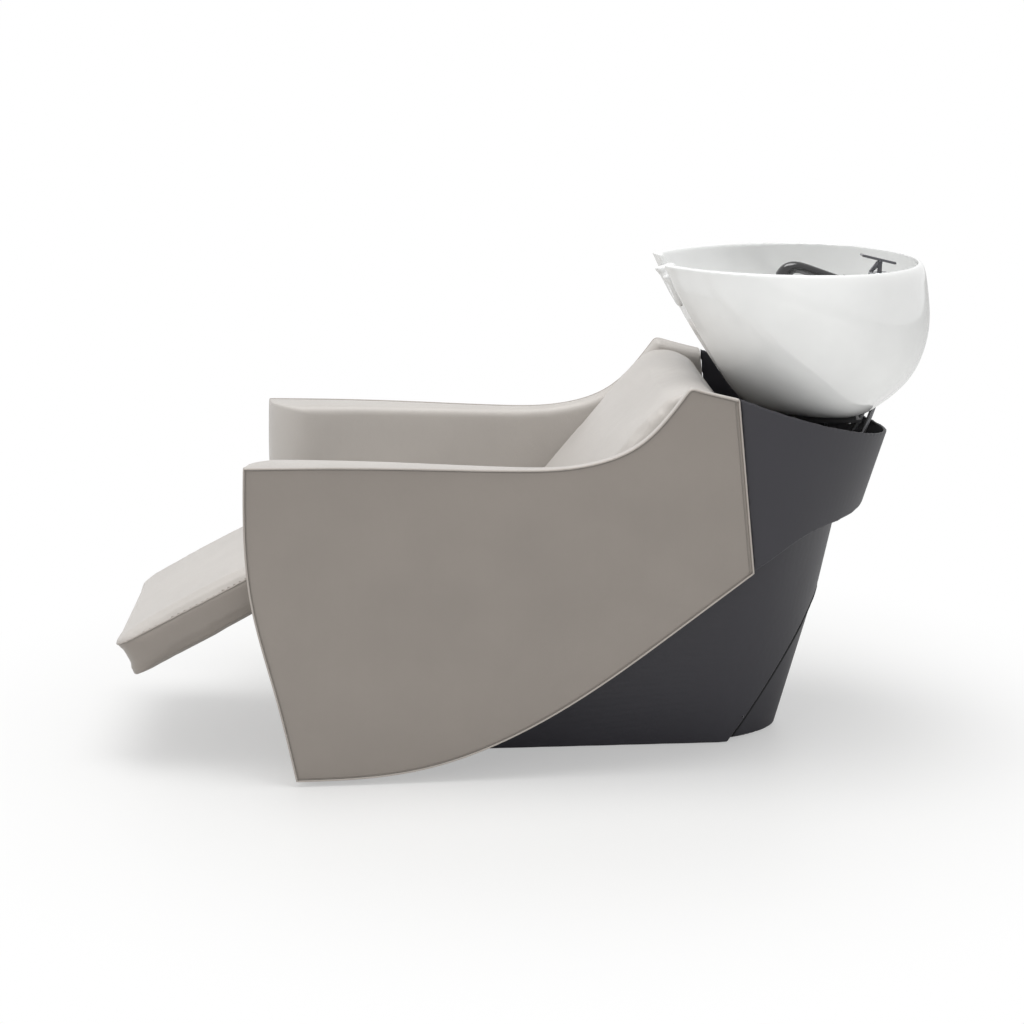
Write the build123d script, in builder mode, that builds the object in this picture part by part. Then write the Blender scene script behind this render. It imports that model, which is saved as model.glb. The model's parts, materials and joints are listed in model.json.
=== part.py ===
from build123d import *
import math
import os

os.makedirs("parts", exist_ok=True)

# Salon backwash unit. Millimetres, +X towards the basin, +Y to the sitter's right, +Z up.
# The origin is on the floor, on the underside of the foot plate.

# General sizes. A size that ends in _ahead or _behind is a distance from the rear of the panels.
overrun = 40.0  # how far a cutting tool passes the thing it cuts
quarter_turn = 90.0
half_turn = 180.0
contact_gap = 0.3  # least gap between pieces that move past each other
running_gap = 0.05  # radial gap of a shaft in its bearing
pad_thickness = 14.0  # foam and leatherette on a board
hose_bend_share = 0.45  # of the shorter run beside a bend, taken by its arc
welt_size = 3.0  # piping along a seam
welt_proud = 1.2

# Armrest panels
arm_front_x = -628.0
arm_length = 932.0
arm_height = 724.0
arm_floor_gap = 11.0
arm_front_half_width = 350.0
arm_rear_half_width = 300.0
arm_front_thickness = 100.0
arm_rear_thickness = 38.0
arm_inner_radius = 92.0
arm_waist_share = 0.63  # where the taper of the thickness ends, along the length

# Points of the side outline, as shares of the panel's length and height
front_edge_shares = ((0.003, 0.820), (0.0, 0.641), (0.010, 0.472), (0.0515, 0.235), (0.090, 0.0))
lower_edge_shares = (
    (0.090, 0.0), (0.235, 0.004), (0.355, 0.026), (0.495, 0.087),
    (0.675, 0.215), (0.854, 0.380), (1.0, 0.521),
)
rear_top_shares = ((0.880, 0.9975), (0.924, 0.982), (0.9624, 0.970))
peak_shares = ((0.858, 0.987), (0.868, 0.999), (0.880, 0.9975))
top_edge_shares = (
    (0.003, 0.820), (0.178, 0.8177), (0.380, 0.809), (0.525, 0.802), (0.632, 0.805),
    (0.690, 0.8177), (0.7296, 0.834), (0.768, 0.8605), (0.807, 0.905), (0.858, 0.987),
)

# Foot plate and steel frame
plate_rear_ahead = 74.0
plate_half_width = 120.0
plate_thickness = 8.0
anchor_hole_radius = 5.5
anchor_front_edge = 66.0
anchor_rear_edge = 40.0
anchor_side_edge = 25.0
tube_wall = 3.0
front_post_x = -220.0
front_post_size = 60.0
rear_post_ahead = 74.0
rear_post_length = 60.0
rear_post_width = 80.0
rear_post_top = 560.0
cross_tube_size = 40.0
cross_tube_bottom = 260.0
front_cross_x = -380.0
rear_cross_share = 0.59  # of the way from the front cross tube to the rear post
rail_height = 40.0
rail_width = 40.0
rail_front_x = -480.0
flange_length = 110.0
flange_height = 60.0
flange_thickness = 6.0
bolt_radius = 4.0
bolt_head_radius = 6.5
bolt_head_height = 5.0
bolt_pitch = 80.0
bolt_reach = 26.0

# Seat and back
board_thickness = 15.0
board_clearance = 6.0
board_setback = 12.0
back_board_length = 330.0
seat_front_x = -507.0
seat_cushion_thickness = 75.0
seat_crown = 12.0
seat_front_radius = 26.0
side_clearance = 1.0
side_pull_in = 4.0
back_slope = 50.4  # degrees above the horizontal
back_foot_ahead = 382.7  # where the back's face meets the seat
back_foot_z = 430.0
back_thickness = 95.0
back_face_length = 350.0
back_top_drop = 66.0  # how far the rolled top runs on past the face
back_crown = 10.0
# The rolled top of the back: share of its drop, share of the back's thickness
back_top_shares = ((0.0, 0.0), (0.576, 0.158), (0.924, 0.589), (1.0, 1.0))
strut_width = 30.0
strut_thickness = 10.0
strut_length = 300.0
strut_offset_y = 63.0
apron_x = -425.0
apron_bottom = 62.0

# Footrest
footrest_pivot_x = -548.0
footrest_pivot_z = 383.0
footrest_slope = 27.7  # degrees below the horizontal in the resting pose
footrest_reach = 358.0
footrest_thickness = 71.0
footrest_half_width = 225.0
footrest_corner_radius = 30.0
footrest_crown = 7.0
footrest_edge_radius = 9.0
sleeve_radius = 15.0
axle_radius = 10.0
footrest_bracket_thickness = 5.0
footrest_bracket_y = 180.0
footrest_bracket_length = 190.0
bearing_block_radius = 26.0
block_inner_y = 225.5
axle_half_length = 250.0
footrest_board_inset = 12.0
bracket_bar_height = 12.0

# Base shell, as two outlines joined by straight lines up the side
shell_wall = 4.0
shell_floor_gap = 2.0
shell_front_x = -330.0
shell_front_half_width = 160.0
shell_corner_radius = 30.0
shell_foot_end_ahead = 50.0
shell_foot_half_width = 139.0
shell_foot_tip_behind = 116.0
shell_top_step = 0.8  # the shell's top over the height that the collar's edge gains
shell_top_front_x = -330.0
shell_top_front_half_width = 235.0
shell_top_end_ahead = 4.0
shell_top_half_width = 257.0
shell_top_tip_behind = 202.0
shell_seat_z = 240.0  # height of the shell under the seat
shell_rise_start_ahead = 204.0
shell_rise_end_ahead = 12.0
shell_crest_behind = 96.0
shell_crest_rise = 25.0
# The rounded rear of each outline: share of the way to the tip, share of the half width
nose_shares = (
    (0.0, 1.0), (0.20, 0.965), (0.38, 0.885), (0.55, 0.765), (0.72, 0.605), (0.87, 0.405), (1.0, 0.0),
)

# Service panel behind the base, under a slanting edge of the shell
service_foot_ahead = 19.0
service_top_behind = 172.0
service_top_z = 300.0
service_inset = 22.0
service_top_inset = 1.0
service_flange = 24.0
service_lip_share = 0.6  # height of the lip over the panel, for each unit of its depth

# Cradle collar
collar_wall = 5.0
collar_low_z = 385.0
collar_low_start_ahead = 4.0
collar_low_half_width = 287.0
collar_low_tip_behind = 230.0
collar_high_z = 720.0
collar_high_start_ahead = 34.0
collar_high_half_width = 291.0
collar_high_tip_behind = 336.0
collar_top_front_z = 716.0
collar_top_mid_z = 642.5
collar_top_mid_behind = 166.0
collar_top_rear_z = 593.0
collar_joint_gap = 1.5
# Lower edge from the side: share of the way from the panel's corner to the tip, height share
collar_lower_shares = ((0.0, 0.0), (0.22, 0.56), (0.43, 1.0), (0.625, 1.17), (0.84, 1.24), (1.07, 1.42))
collar_lower_rise = 56.0
collar_lower_length = 245.0
collar_form_low = 360.0
collar_form_high = 730.0

# Basin
rim_z = 937.0
bowl_bottom_z = 637.0
bowl_front_ahead = 182.0
bowl_length = 548.0
bowl_half_width = 284.0
bowl_wall = 14.0
bowl_floor = 14.0
# Levels of the basin: height share, front share, rear share, half width share
bowl_shares = (
    (0.0, 0.507, 0.763, 0.30), (0.027, 0.438, 0.808, 0.43), (0.10, 0.343, 0.858, 0.60),
    (0.21, 0.294, 0.922, 0.735), (0.34, 0.232, 0.968, 0.853), (0.51, 0.155, 0.996, 0.951),
    (0.71, 0.080, 1.0, 0.996), (0.877, 0.031, 0.988, 0.996), (1.0, 0.0, 0.962, 0.975),
)
bowl_widest_share = 0.58
shield_top_ahead = 158.0
shield_foot_ahead = 55.0
shield_foot_z = 739.0
shield_half_width = 115.0
shield_hollow = 12.0
notch_half_width = 72.0
notch_bottom_z = 848.0
notch_run = 70.0
deck_behind = 212.0
deck_z = 850.0
deck_thickness = 12.0
drain_behind = 166.0
drain_hole_radius = 28.0
mixer_behind = 262.0
mixer_y = -62.0
mixer_hole_radius = 17.5
ferrule_behind = 242.0
ferrule_y = 80.0
ferrule_hole_radius = 11.0
hose_port_behind = 288.0
hose_port_length = 66.0
hose_port_width = 110.0
hose_port_height = 90.0

# Tilting gear under the basin
tilt_behind = 46.0
tilt_z = 590.0
tilt_pin_radius = 6.0
tilt_pin_head_radius = 9.0
tilt_pin_head = 4.0
tilt_bush_radius = 9.0
cheek_thickness = 6.0
cheek_front_ahead = 89.0
cheek_rear_behind = 81.0
cheek_bottom_z = 500.0
cheek_top_z = 605.0
cheek_corner_radius = 8.0
ear_thickness = 5.0
ear_gap = 0.8
ear_half_length = 25.0
clamp_drop = 45.0
clamp_stud_radius = 4.0
clamp_slot_gap = 0.6
clamp_slot_low = -8.0
clamp_slot_high = 16.0
clamp_nut_radius = 8.0
clamp_nut_height = 6.0
clamp_gap = 0.5
bush_inner_y = 24.0
screw_radius = 3.0
screw_head_radius = 5.0
screw_head_height = 4.0
ear_foot = 14.0
bracket_plate_z = 622.0
bracket_plate_thickness = 6.0
bracket_front_behind = 16.0
bracket_rear_behind = 241.0
bracket_half_width = 52.0
bracket_hole_radius = 36.0
rubber_pad_front_behind = 104.0
rubber_pad_rear_behind = 230.0
bowl_screw_pitch_x = 104.0
bowl_screw_pitch_y = 78.0
bowl_screw_depth = 8.0
lever_inner_y = 46.8
lever_offset_y = 56.0
lever_thickness = 10.0
lever_height = 14.0
lever_hub_radius = 11.0
lever_reach = 205.0
lever_angle = 20.1
grip_length = 80.0
grip_height = 19.0
grip_thickness = 15.0

# Neck rest
neck_rest_thickness = 9.0
neck_rest_depth = 34.0
neck_rest_drop = 20.0

# Waste
waste_flange_radius = 36.0
waste_flange_thickness = 3.0
waste_bore_radius = 21.0
waste_body_radius = 24.0
waste_tail_radius = 19.0
waste_tail_bore = 16.0
waste_tail_z = 583.0
waste_nut_radius = 34.0
waste_nut_height = 12.0
strainer_radius = 19.0
strainer_cap_radius = 26.0
strainer_cap_thickness = 3.0
strainer_depth = 22.0
strainer_wall = 1.5
strainer_hole_radius = 2.2
strainer_hole_count = 8
strainer_hole_place_share = 0.6  # of the way from its axis to its rim
drain_hose_radius = 20.0
drain_hose_wall = 3.0
drain_run = 43.0
drain_foot_run = 64.5
trap_behind = 81.0
trap_bottom_z = 200.0
trap_height = 100.0
trap_radius = 33.0
trap_neck_radius = 20.0
trap_neck_height = 35.0
trap_wall = 3.0
waste_pipe_radius = 20.0
waste_pipe_wall = 2.0
waste_pipe_behind = 2.0
waste_pipe_z = 265.0
waste_pipe_bottom_z = 30.0
waste_bend_radius = 34.0
waste_ring_z = 100.0
waste_ring_radius = 23.0
waste_ring_height = 6.0

# Mixer and sprayer
mixer_flange_radius = 25.0
mixer_flange_height = 6.0
mixer_body_radius = 21.0
mixer_body_top = 892.0
mixer_shank_radius = 16.0
mixer_shank_drop = 34.0
mixer_nut_radius = 25.0
mixer_nut_height = 8.0
mixer_tail_radius = 6.5
mixer_tail_drop = 18.0
mixer_tail_spread = 7.5
cap_gap = 0.4
cap_top_z = 916.0
cap_journal_radius = 12.0
cap_journal_height = 10.0
cap_slot_length = 26.0
cap_slot_width = 11.0
cap_slot_floor_z = 905.0
lever_pin_z = 910.5
lever_pin_radius = 2.0
lever_eye_radius = 4.5
lever_eye_width = 10.0
lever_stem_length = 8.0
paddle_length = 68.0
paddle_width = 26.0
paddle_thickness = 5.0
paddle_slope = 13.6
paddle_z = 940.0
paddle_front_share = 0.55
ferrule_angle = 18.4
ferrule_z = 872.0
ferrule_radius = 14.5
ferrule_bore_radius = 11.3
ferrule_length = 40.0
ferrule_back_share = 0.35  # share of the sleeve behind its pillar
ferrule_pillar_radius = 10.5
ferrule_pillar_bore = 6.0
ferrule_tail = 12.0
ferrule_foot_height = 3.0
ferrule_bore_lead = 1.0
ferrule_nut_radius = 17.0
ferrule_nut_height = 8.0
sprayer_radius = 11.0
sprayer_length = 118.0
sprayer_seat = 18.0
sprayer_hose_radius = 4.0
sprayer_hose_bend = 5.5
sprayer_hose_foot_bend = 9.9
sprayer_head_radius = 21.0
sprayer_head_length = 50.0
sprayer_head_angle = 52.0
sprayer_head_back = 0.3
sprayer_crown_share = 0.5
sprayer_shoulder_share = 0.86
sprayer_shoulder_place_share = 0.45
spray_face_radius = 17.0
spray_face_thickness = 3.0

# Water supply inside the base
valve_ahead = 20.0
valve_y = 75.0
valve_body_radius = 14.0
valve_body_bottom = 120.0
valve_body_top = 178.0
valve_inlet_radius = 10.5
valve_inlet_length = 30.0
valve_outlet_radius = 7.5
valve_outlet_length = 18.0
valve_stem_radius = 5.0
valve_stem_length = 8.0
valve_lever_length = 62.0
valve_lever_width = 12.0
valve_stem_z = 150.0
valve_plate_bottom = 124.0
valve_plate_height = 52.0
valve_plate_half_width = 100.0
valve_plate_thickness = 4.0
valve_hub_radius = 9.0
valve_hub_length = 6.0
valve_cap_thickness = 2.0
saddle_half_width = 10.0
saddle_share = 0.8
supply_hose_radius = 6.0
supply_lead = 18.0
supply_drop = 50.0
supply_port_y = 30.0
supply_trunk_y = 62.0
supply_over_shell = 20.0
supply_port_low = 111.0

# Where things meet, worked out from the sizes above
arm_rear_x = arm_front_x + arm_length
plate_rear_x = arm_rear_x - plate_rear_ahead
rear_post_x = arm_rear_x - rear_post_ahead
back_foot_x = arm_rear_x - back_foot_ahead
shell_foot_end_x = arm_rear_x - shell_foot_end_ahead
shell_foot_tip_x = arm_rear_x + shell_foot_tip_behind
shell_top_end_x = arm_rear_x - shell_top_end_ahead
shell_top_tip_x = arm_rear_x + shell_top_tip_behind
shell_rise_start_x = arm_rear_x - shell_rise_start_ahead
shell_rise_end_x = arm_rear_x - shell_rise_end_ahead
shell_crest_x = arm_rear_x + shell_crest_behind
service_foot_x = arm_rear_x - service_foot_ahead
service_top_x = arm_rear_x + service_top_behind
collar_low_start_x = arm_rear_x - collar_low_start_ahead
collar_low_tip_x = arm_rear_x + collar_low_tip_behind
collar_high_start_x = arm_rear_x - collar_high_start_ahead
collar_high_tip_x = arm_rear_x + collar_high_tip_behind
collar_top_mid_x = arm_rear_x + collar_top_mid_behind
bowl_front_x = arm_rear_x - bowl_front_ahead
shield_top_x = arm_rear_x - shield_top_ahead
shield_foot_x = arm_rear_x - shield_foot_ahead
deck_x = arm_rear_x + deck_behind
drain_x = arm_rear_x + drain_behind
mixer_x = arm_rear_x + mixer_behind
ferrule_x = arm_rear_x + ferrule_behind
hose_port_x = arm_rear_x + hose_port_behind
tilt_x = arm_rear_x + tilt_behind
cheek_front_x = arm_rear_x - cheek_front_ahead
cheek_rear_x = arm_rear_x + cheek_rear_behind
bracket_front_x = arm_rear_x + bracket_front_behind
bracket_rear_x = arm_rear_x + bracket_rear_behind
rubber_pad_front_x = arm_rear_x + rubber_pad_front_behind
rubber_pad_rear_x = arm_rear_x + rubber_pad_rear_behind
trap_x = arm_rear_x + trap_behind
waste_pipe_x = arm_rear_x + waste_pipe_behind
valve_x = arm_rear_x - valve_ahead
plate_front_x = shell_front_x + shell_wall
anchor_spacing_x = plate_rear_x - plate_front_x - anchor_front_edge - anchor_rear_edge
anchor_spacing_y = 2 * (plate_half_width - anchor_side_edge)
anchor_centre_x = (plate_front_x + anchor_front_edge + plate_rear_x - anchor_rear_edge) / 2
arm_toe_in = (arm_rear_half_width - arm_front_half_width) / arm_length
arm_waist_x = arm_front_x + arm_waist_share * arm_length
arm_top_z = arm_floor_gap + arm_height
arm_corner_z = arm_floor_gap + lower_edge_shares[-1][1] * arm_height
shell_top_z = arm_corner_z + collar_lower_rise + shell_top_step
rail_bottom = cross_tube_bottom + cross_tube_size
rear_cross_x = front_cross_x + rear_cross_share * (rear_post_x - front_cross_x)
seat_board_z = rail_bottom + rail_height
seat_cushion_z = seat_board_z + board_thickness
rail_offset_y = rear_post_width / 2 + rail_width / 2
back_plane = Plane(
    origin=(back_foot_x, 0, back_foot_z),
    x_dir=(math.cos(math.radians(back_slope)), 0, math.sin(math.radians(back_slope))),
    z_dir=(0, -1, 0),
)
back_rear = back_thickness + board_thickness
shield_run = Vector(shield_foot_x - shield_top_x, 0, shield_foot_z - rim_z).normalized()
shield_plane = Plane(
    origin=(shield_top_x, 0, rim_z),
    x_dir=(0, 1, 0),
    z_dir=(-shield_run.Z, 0, shield_run.X),
)
notch_centre = notch_half_width - (rim_z - notch_bottom_z) / -shield_run.Z
footrest_plane = Plane(
    origin=(footrest_pivot_x, 0, footrest_pivot_z),
    x_dir=(
        -math.cos(math.radians(footrest_slope)),
        0,
        -math.sin(math.radians(footrest_slope)),
    ),
    z_dir=(0, 1, 0),
)


def arm_outer_y(x):
    """Half width at the outer face of a panel."""
    return arm_front_half_width + arm_toe_in * (x - arm_front_x)


def arm_inner_y(x):
    """Half width at the inner face of a panel, behind its rounded front corner."""
    front = arm_front_half_width - arm_front_thickness
    waist = arm_outer_y(arm_waist_x) - arm_rear_thickness
    if x > arm_waist_x:
        return arm_outer_y(x) - arm_rear_thickness
    return front + (waist - front) * (x - arm_front_x) / (arm_waist_x - arm_front_x)


def side_points(shares, inset):
    """Points of the panel's side outline, drawn in by inset all round."""
    return [
        (
            arm_front_x + inset + along * (arm_length - 2 * inset),
            arm_floor_gap + inset + up * (arm_height - 2 * inset),
        )
        for along, up in shares
    ]


def arm_profile(inset):
    """The panel's side outline."""
    with BuildSketch(Plane.XZ) as profile:
        with BuildLine():
            Spline(*side_points(front_edge_shares, inset))
            Spline(*side_points(lower_edge_shares, inset))
            Line(side_points(lower_edge_shares, inset)[-1], side_points(rear_top_shares, inset)[-1])
            Spline(*side_points(rear_top_shares, inset)[::-1])
            ThreePointArc(*side_points(peak_shares, inset)[::-1])
            Spline(*side_points(top_edge_shares, inset)[::-1])
        make_face()
    return profile.sketch


def arm_plan(side, outer_inset, inner_inset):
    """The panel from above: outer face, tapering inner face."""
    front, rear = arm_front_x - overrun, arm_rear_x + overrun
    with BuildSketch(Plane.XY) as plan:
        with BuildLine():
            Polyline(
                (front, side * (arm_outer_y(front) - outer_inset)),
                (rear, side * (arm_outer_y(rear) - outer_inset)),
                (rear, side * (arm_inner_y(rear) + inner_inset)),
                (arm_waist_x, side * (arm_inner_y(arm_waist_x) + inner_inset)),
                (front, side * (arm_inner_y(front) + inner_inset)),
                close=True,
            )
        make_face()
    return plan.sketch


def arm_body(side, inset):
    """One panel, drawn in by inset all round, with its large rounded inner front corner."""
    profile = arm_profile(inset)
    plan = arm_plan(side, inset, inset)
    corner_y = side * (arm_inner_y(arm_front_x) + inset)
    with BuildPart() as body:
        extrude(profile, amount=arm_front_half_width + overrun, both=True)
        extrude(plan, amount=arm_top_z + overrun, mode=Mode.INTERSECT)
        corner = body.edges().sort_by_distance((arm_front_x, corner_y, arm_height / 2))[0]
        fillet(corner, arm_inner_radius - 2 * inset)
    return body.part


def welt_body(side):
    """The piping along the edge of a panel's outer face."""
    outside = arm_profile(-welt_proud)
    inside = arm_profile(welt_size)
    strip = arm_plan(side, -welt_proud, 0)
    core = arm_plan(side, welt_size, -overrun)
    with BuildPart() as body:
        extrude(outside, amount=arm_front_half_width + overrun, both=True)
        extrude(strip, amount=arm_top_z + overrun, mode=Mode.INTERSECT)
        extrude(inside, amount=arm_front_half_width + overrun, both=True, mode=Mode.SUBTRACT)
        extrude(core, amount=arm_top_z + overrun, mode=Mode.SUBTRACT)
    return body.part


def bolt_places():
    """Where the four arm bolts on each side go, along X."""
    return [
        (centre + step * bolt_pitch / 2, cross_tube_bottom + cross_tube_size / 2)
        for centre in (front_cross_x, rear_cross_x)
        for step in (-1, 1)
    ]


def flange_face_y(x):
    """Half width of the inner side of an arm flange at its narrowest."""
    ends = (x - flange_length / 2, x + flange_length / 2)
    return min(arm_inner_y(end) for end in ends) - flange_thickness


def bolt_group(side):
    """Four bolts from the flanges into one panel's carcass."""
    with BuildPart() as bolts:
        for x, z in bolt_places():
            centre = front_cross_x if x < (front_cross_x + rear_cross_x) / 2 else rear_cross_x
            start = flange_face_y(centre)
            shank = arm_inner_y(x) - start + bolt_reach
            with BuildSketch(Plane(origin=(x, side * start, z), z_dir=(0, side, 0))):
                Circle(bolt_radius)
            extrude(amount=shank)
            with BuildSketch(Plane(origin=(x, side * start, z), z_dir=(0, -side, 0))):
                RegularPolygon(bolt_head_radius, 6)
            extrude(amount=bolt_head_height)
    return bolts.part


def along_back(z, behind):
    """Distance up the back's slope of the point at height z, that far behind the back's face."""
    slope = math.radians(back_slope)
    return ((z - back_foot_z) + behind * math.cos(slope)) / math.sin(slope)


def mixed(low, high, share):
    """A value between two, by share."""
    return low + (high - low) * share


def nose_points(start_x, half_width, tip_x):
    """Points of one side of a rounded rear, from its start to its tip."""
    return [(mixed(start_x, tip_x, along), across * half_width) for along, across in nose_shares]


def shell_outline(z, inset):
    """The base shell's outline at height z, drawn in by inset."""
    share = z / shell_top_z
    front = mixed(shell_front_x, shell_top_front_x, share) + inset
    front_half = mixed(shell_front_half_width, shell_top_front_half_width, share) - inset
    end_x = mixed(shell_foot_end_x, shell_top_end_x, share)
    end_half = mixed(shell_foot_half_width, shell_top_half_width, share) - inset
    tip_x = mixed(shell_foot_tip_x, shell_top_tip_x, share) - inset
    near = [(x, -y) for x, y in nose_points(end_x, end_half, tip_x)]
    far = nose_points(end_x, end_half, tip_x)[::-1]
    corner = shell_corner_radius
    diagonal = corner * (1 - math.sqrt(0.5))
    with BuildSketch(Plane.XY.offset(z)) as outline:
        with BuildLine():
            Spline(*near, tangents=((1, 0), (0, 1)), tangent_scalars=(1, 1))
            Spline(*far, tangents=((0, 1), (-1, 0)), tangent_scalars=(1, 1))
            Line(far[-1], (front + corner, front_half))
            ThreePointArc(
                (front + corner, front_half),
                (front + diagonal, front_half - diagonal),
                (front, front_half - corner),
            )
            Line((front, front_half - corner), (front, corner - front_half))
            ThreePointArc(
                (front, corner - front_half),
                (front + diagonal, diagonal - front_half),
                (front + corner, -front_half),
            )
            Line((front + corner, -front_half), near[0])
        make_face()
    return outline.sketch


def shell_body(inset):
    """The base shell's outer form as a solid, from the floor to above its top."""
    lower = shell_outline(0, inset)
    upper = shell_outline(shell_top_z + collar_lower_rise, inset)
    with BuildPart() as body:
        loft(sections=[lower, upper], ruled=True)
    return body.part


def service_body(extra):
    """The form that the service panel follows: the shell's, drawn in more at the floor."""
    lower = shell_outline(0, service_inset + extra)
    upper = shell_outline(service_top_z, service_top_inset + extra)
    with BuildPart() as body:
        loft(sections=[lower, upper], ruled=True)
    return body.part


def before_service_edge(step, bottom):
    """Side view of everything in front of the shell's slanting rear edge, under its top."""
    run = (service_top_x - service_foot_x) / service_top_z
    low_x = service_foot_x + bottom * run - step
    with BuildSketch(Plane.XZ) as region:
        with BuildLine():
            Polyline(
                (shell_front_x - overrun, bottom),
                (low_x, bottom),
                (service_top_x - step, service_top_z + step * service_lip_share),
                (shell_top_tip_x + overrun, service_top_z + step * service_lip_share),
                (shell_top_tip_x + overrun, shell_top_z + 2 * overrun),
                (shell_front_x - overrun, shell_top_z + 2 * overrun),
                close=True,
            )
        make_face()
    return region.sketch


def behind_service_edge():
    """Side view of the space that the service panel closes."""
    run = (service_top_x - service_foot_x) / service_top_z
    with BuildSketch(Plane.XZ) as region:
        with BuildLine():
            Polyline(
                (service_foot_x + shell_floor_gap * run, shell_floor_gap),
                (service_top_x, service_top_z),
                (service_top_x + overrun * 2, service_top_z),
                (service_top_x + overrun * 2, shell_floor_gap),
                close=True,
            )
        make_face()
    return region.sketch


def shell_top_cut():
    """Side view of what is cut off the top of the base shell: under the seat, then up the rise."""
    with BuildSketch(Plane.XZ) as region:
        with BuildLine():
            Polyline(
                (shell_front_x - overrun, shell_seat_z),
                (shell_rise_start_x, shell_seat_z),
                (shell_rise_end_x, shell_top_z),
                (shell_crest_x, shell_top_z + shell_crest_rise),
                (shell_top_tip_x + overrun, shell_top_z + shell_crest_rise),
                (shell_top_tip_x + overrun, shell_top_z + 2 * overrun),
                (shell_front_x - overrun, shell_top_z + 2 * overrun),
                close=True,
            )
        make_face()
    return region.sketch


def collar_outline(z, inset):
    """The collar's outline at height z: two straight flanks and the rounded rear."""
    share = (z - collar_low_z) / (collar_high_z - collar_low_z)
    start_x = mixed(collar_low_start_x, collar_high_start_x, share)
    half = mixed(collar_low_half_width, collar_high_half_width, share) - inset
    tip_x = mixed(collar_low_tip_x, collar_high_tip_x, share) - inset
    near = [(x, -y) for x, y in nose_points(start_x, half, tip_x)]
    far = nose_points(start_x, half, tip_x)[::-1]
    front = collar_high_start_x - overrun
    flare = (start_x - front) * -arm_toe_in
    with BuildSketch(Plane.XY.offset(z)) as outline:
        with BuildLine():
            Spline(*near, tangents=((1, 0), (0, 1)), tangent_scalars=(1, 1))
            Spline(*far, tangents=((0, 1), (-1, 0)), tangent_scalars=(1, 1))
            Polyline(far[-1], (front, half + flare), (front, -half - flare), near[0])
        make_face()
    return outline.sketch


def collar_body(inset, low, high):
    """The collar's form as a solid, between two heights."""
    lower = collar_outline(low, inset)
    upper = collar_outline(high, inset)
    with BuildPart() as body:
        loft(sections=[lower, upper], ruled=True)
    return body.part


def collar_side(lift, top_lift, lead):
    """Side view of the collar: behind the panels, between its lower edge and its sloping top."""
    corner_x, corner_z = side_points(lower_edge_shares, 0)[-1]
    rear_top_x, rear_top_z = side_points(rear_top_shares, 0)[-1]
    start_x = corner_x + collar_joint_gap
    lower = [
        (start_x + along * collar_lower_length, corner_z + lift + up * collar_lower_rise)
        for along, up in collar_lower_shares
    ]
    reach = collar_high_tip_x + overrun
    top = [
        (rear_top_x + collar_joint_gap - lead, collar_top_front_z + top_lift),
        (collar_top_mid_x, collar_top_mid_z + top_lift),
        (collar_high_tip_x, collar_top_rear_z + top_lift),
    ]
    with BuildSketch(Plane.XZ) as region:
        with BuildLine():
            Spline(*lower)
            Polyline(lower[-1], (reach, lower[-1][1]), (reach, top[-1][1]), top[-1])
            Spline(*top[::-1])
            Line(top[0], (start_x - lead, lower[0][1]))
            if lead:
                Line((start_x - lead, lower[0][1]), lower[0])
        make_face()
    return region.sketch


def egg(z, front_x, rear_x, half_width):
    """One level of the basin: a half ellipse in front, a shorter one behind."""
    widest_x = mixed(front_x, rear_x, bowl_widest_share)
    with BuildSketch(Plane.XY.offset(z)) as level:
        with BuildLine():
            centre = (widest_x, 0)
            EllipticalCenterArc(centre, rear_x - widest_x, half_width, -quarter_turn, arc_size=half_turn)
            EllipticalCenterArc(centre, widest_x - front_x, half_width, quarter_turn, arc_size=half_turn)
        make_face()
    return level.sketch


def bowl_form(wall, floor, lift):
    """The basin's form, drawn in by wall, raised by floor at the bottom and by lift at the rim."""
    height = rim_z - bowl_bottom_z
    levels = []
    for up, front, rear, half in bowl_shares:
        z = bowl_bottom_z + up * height + mixed(floor, lift, up)
        levels.append(
            egg(
                z,
                bowl_front_x + front * bowl_length + wall,
                bowl_front_x + rear * bowl_length - wall,
                half * bowl_half_width - wall,
            )
        )
    with BuildPart() as form:
        loft(sections=levels)
    return form.part


def tube_path(points):
    """Straight runs joined by arcs as large as the runs allow, and the arcs' radii."""
    vectors = [Vector(*p) for p in points]
    radii = []
    for before, here, after in zip(vectors, vectors[1:], vectors[2:]):
        turn = (here - before).get_angle(after - here)
        shorter = min((here - before).length, (after - here).length)
        radii.append(hose_bend_share * shorter / math.tan(math.radians(turn / 2)))
    return radii


def hose(points, outer_radius, bore_radius):
    """A hose or pipe along straight runs and arcs."""
    radii = tube_path(points)
    print("hose radii", [round(r) for r in radii])
    with BuildPart() as body:
        with BuildLine() as path:
            FilletPolyline(*points, radius=radii)
        with BuildSketch(Plane(origin=points[0], z_dir=path.line % 0)):
            Circle(outer_radius)
            if bore_radius:
                Circle(bore_radius, mode=Mode.SUBTRACT)
        sweep(path=path.line)
    print("hose volume", round(body.part.volume), "expected",
          round(path.wire().length * math.pi * (outer_radius**2 - bore_radius**2)))
    return body.part


def shield_cutter(wall):
    """What is cut away in front of the basin's hollow shield, or what leaves a wall behind it."""
    radius = (shield_half_width**2 + shield_hollow**2) / (2 * shield_hollow)
    axis_plane = Plane(
        origin=shield_plane.from_local_coords((0, 0, shield_hollow - radius)),
        z_dir=shield_plane.y_dir,
    )
    with BuildPart() as cutter:
        with BuildSketch(axis_plane):
            Circle(radius + wall)
        extrude(amount=bowl_length, both=True)
    return cutter.part


def side_box(x_low, x_high, z_low, z_high, half_width):
    """A block that is centred across, from its sides and heights."""
    with BuildPart() as block:
        with BuildSketch(Plane.XZ):
            with Locations(((x_low + x_high) / 2, (z_low + z_high) / 2)):
                Rectangle(x_high - x_low, z_high - z_low)
        extrude(amount=half_width, both=True)
    return block.part


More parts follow.
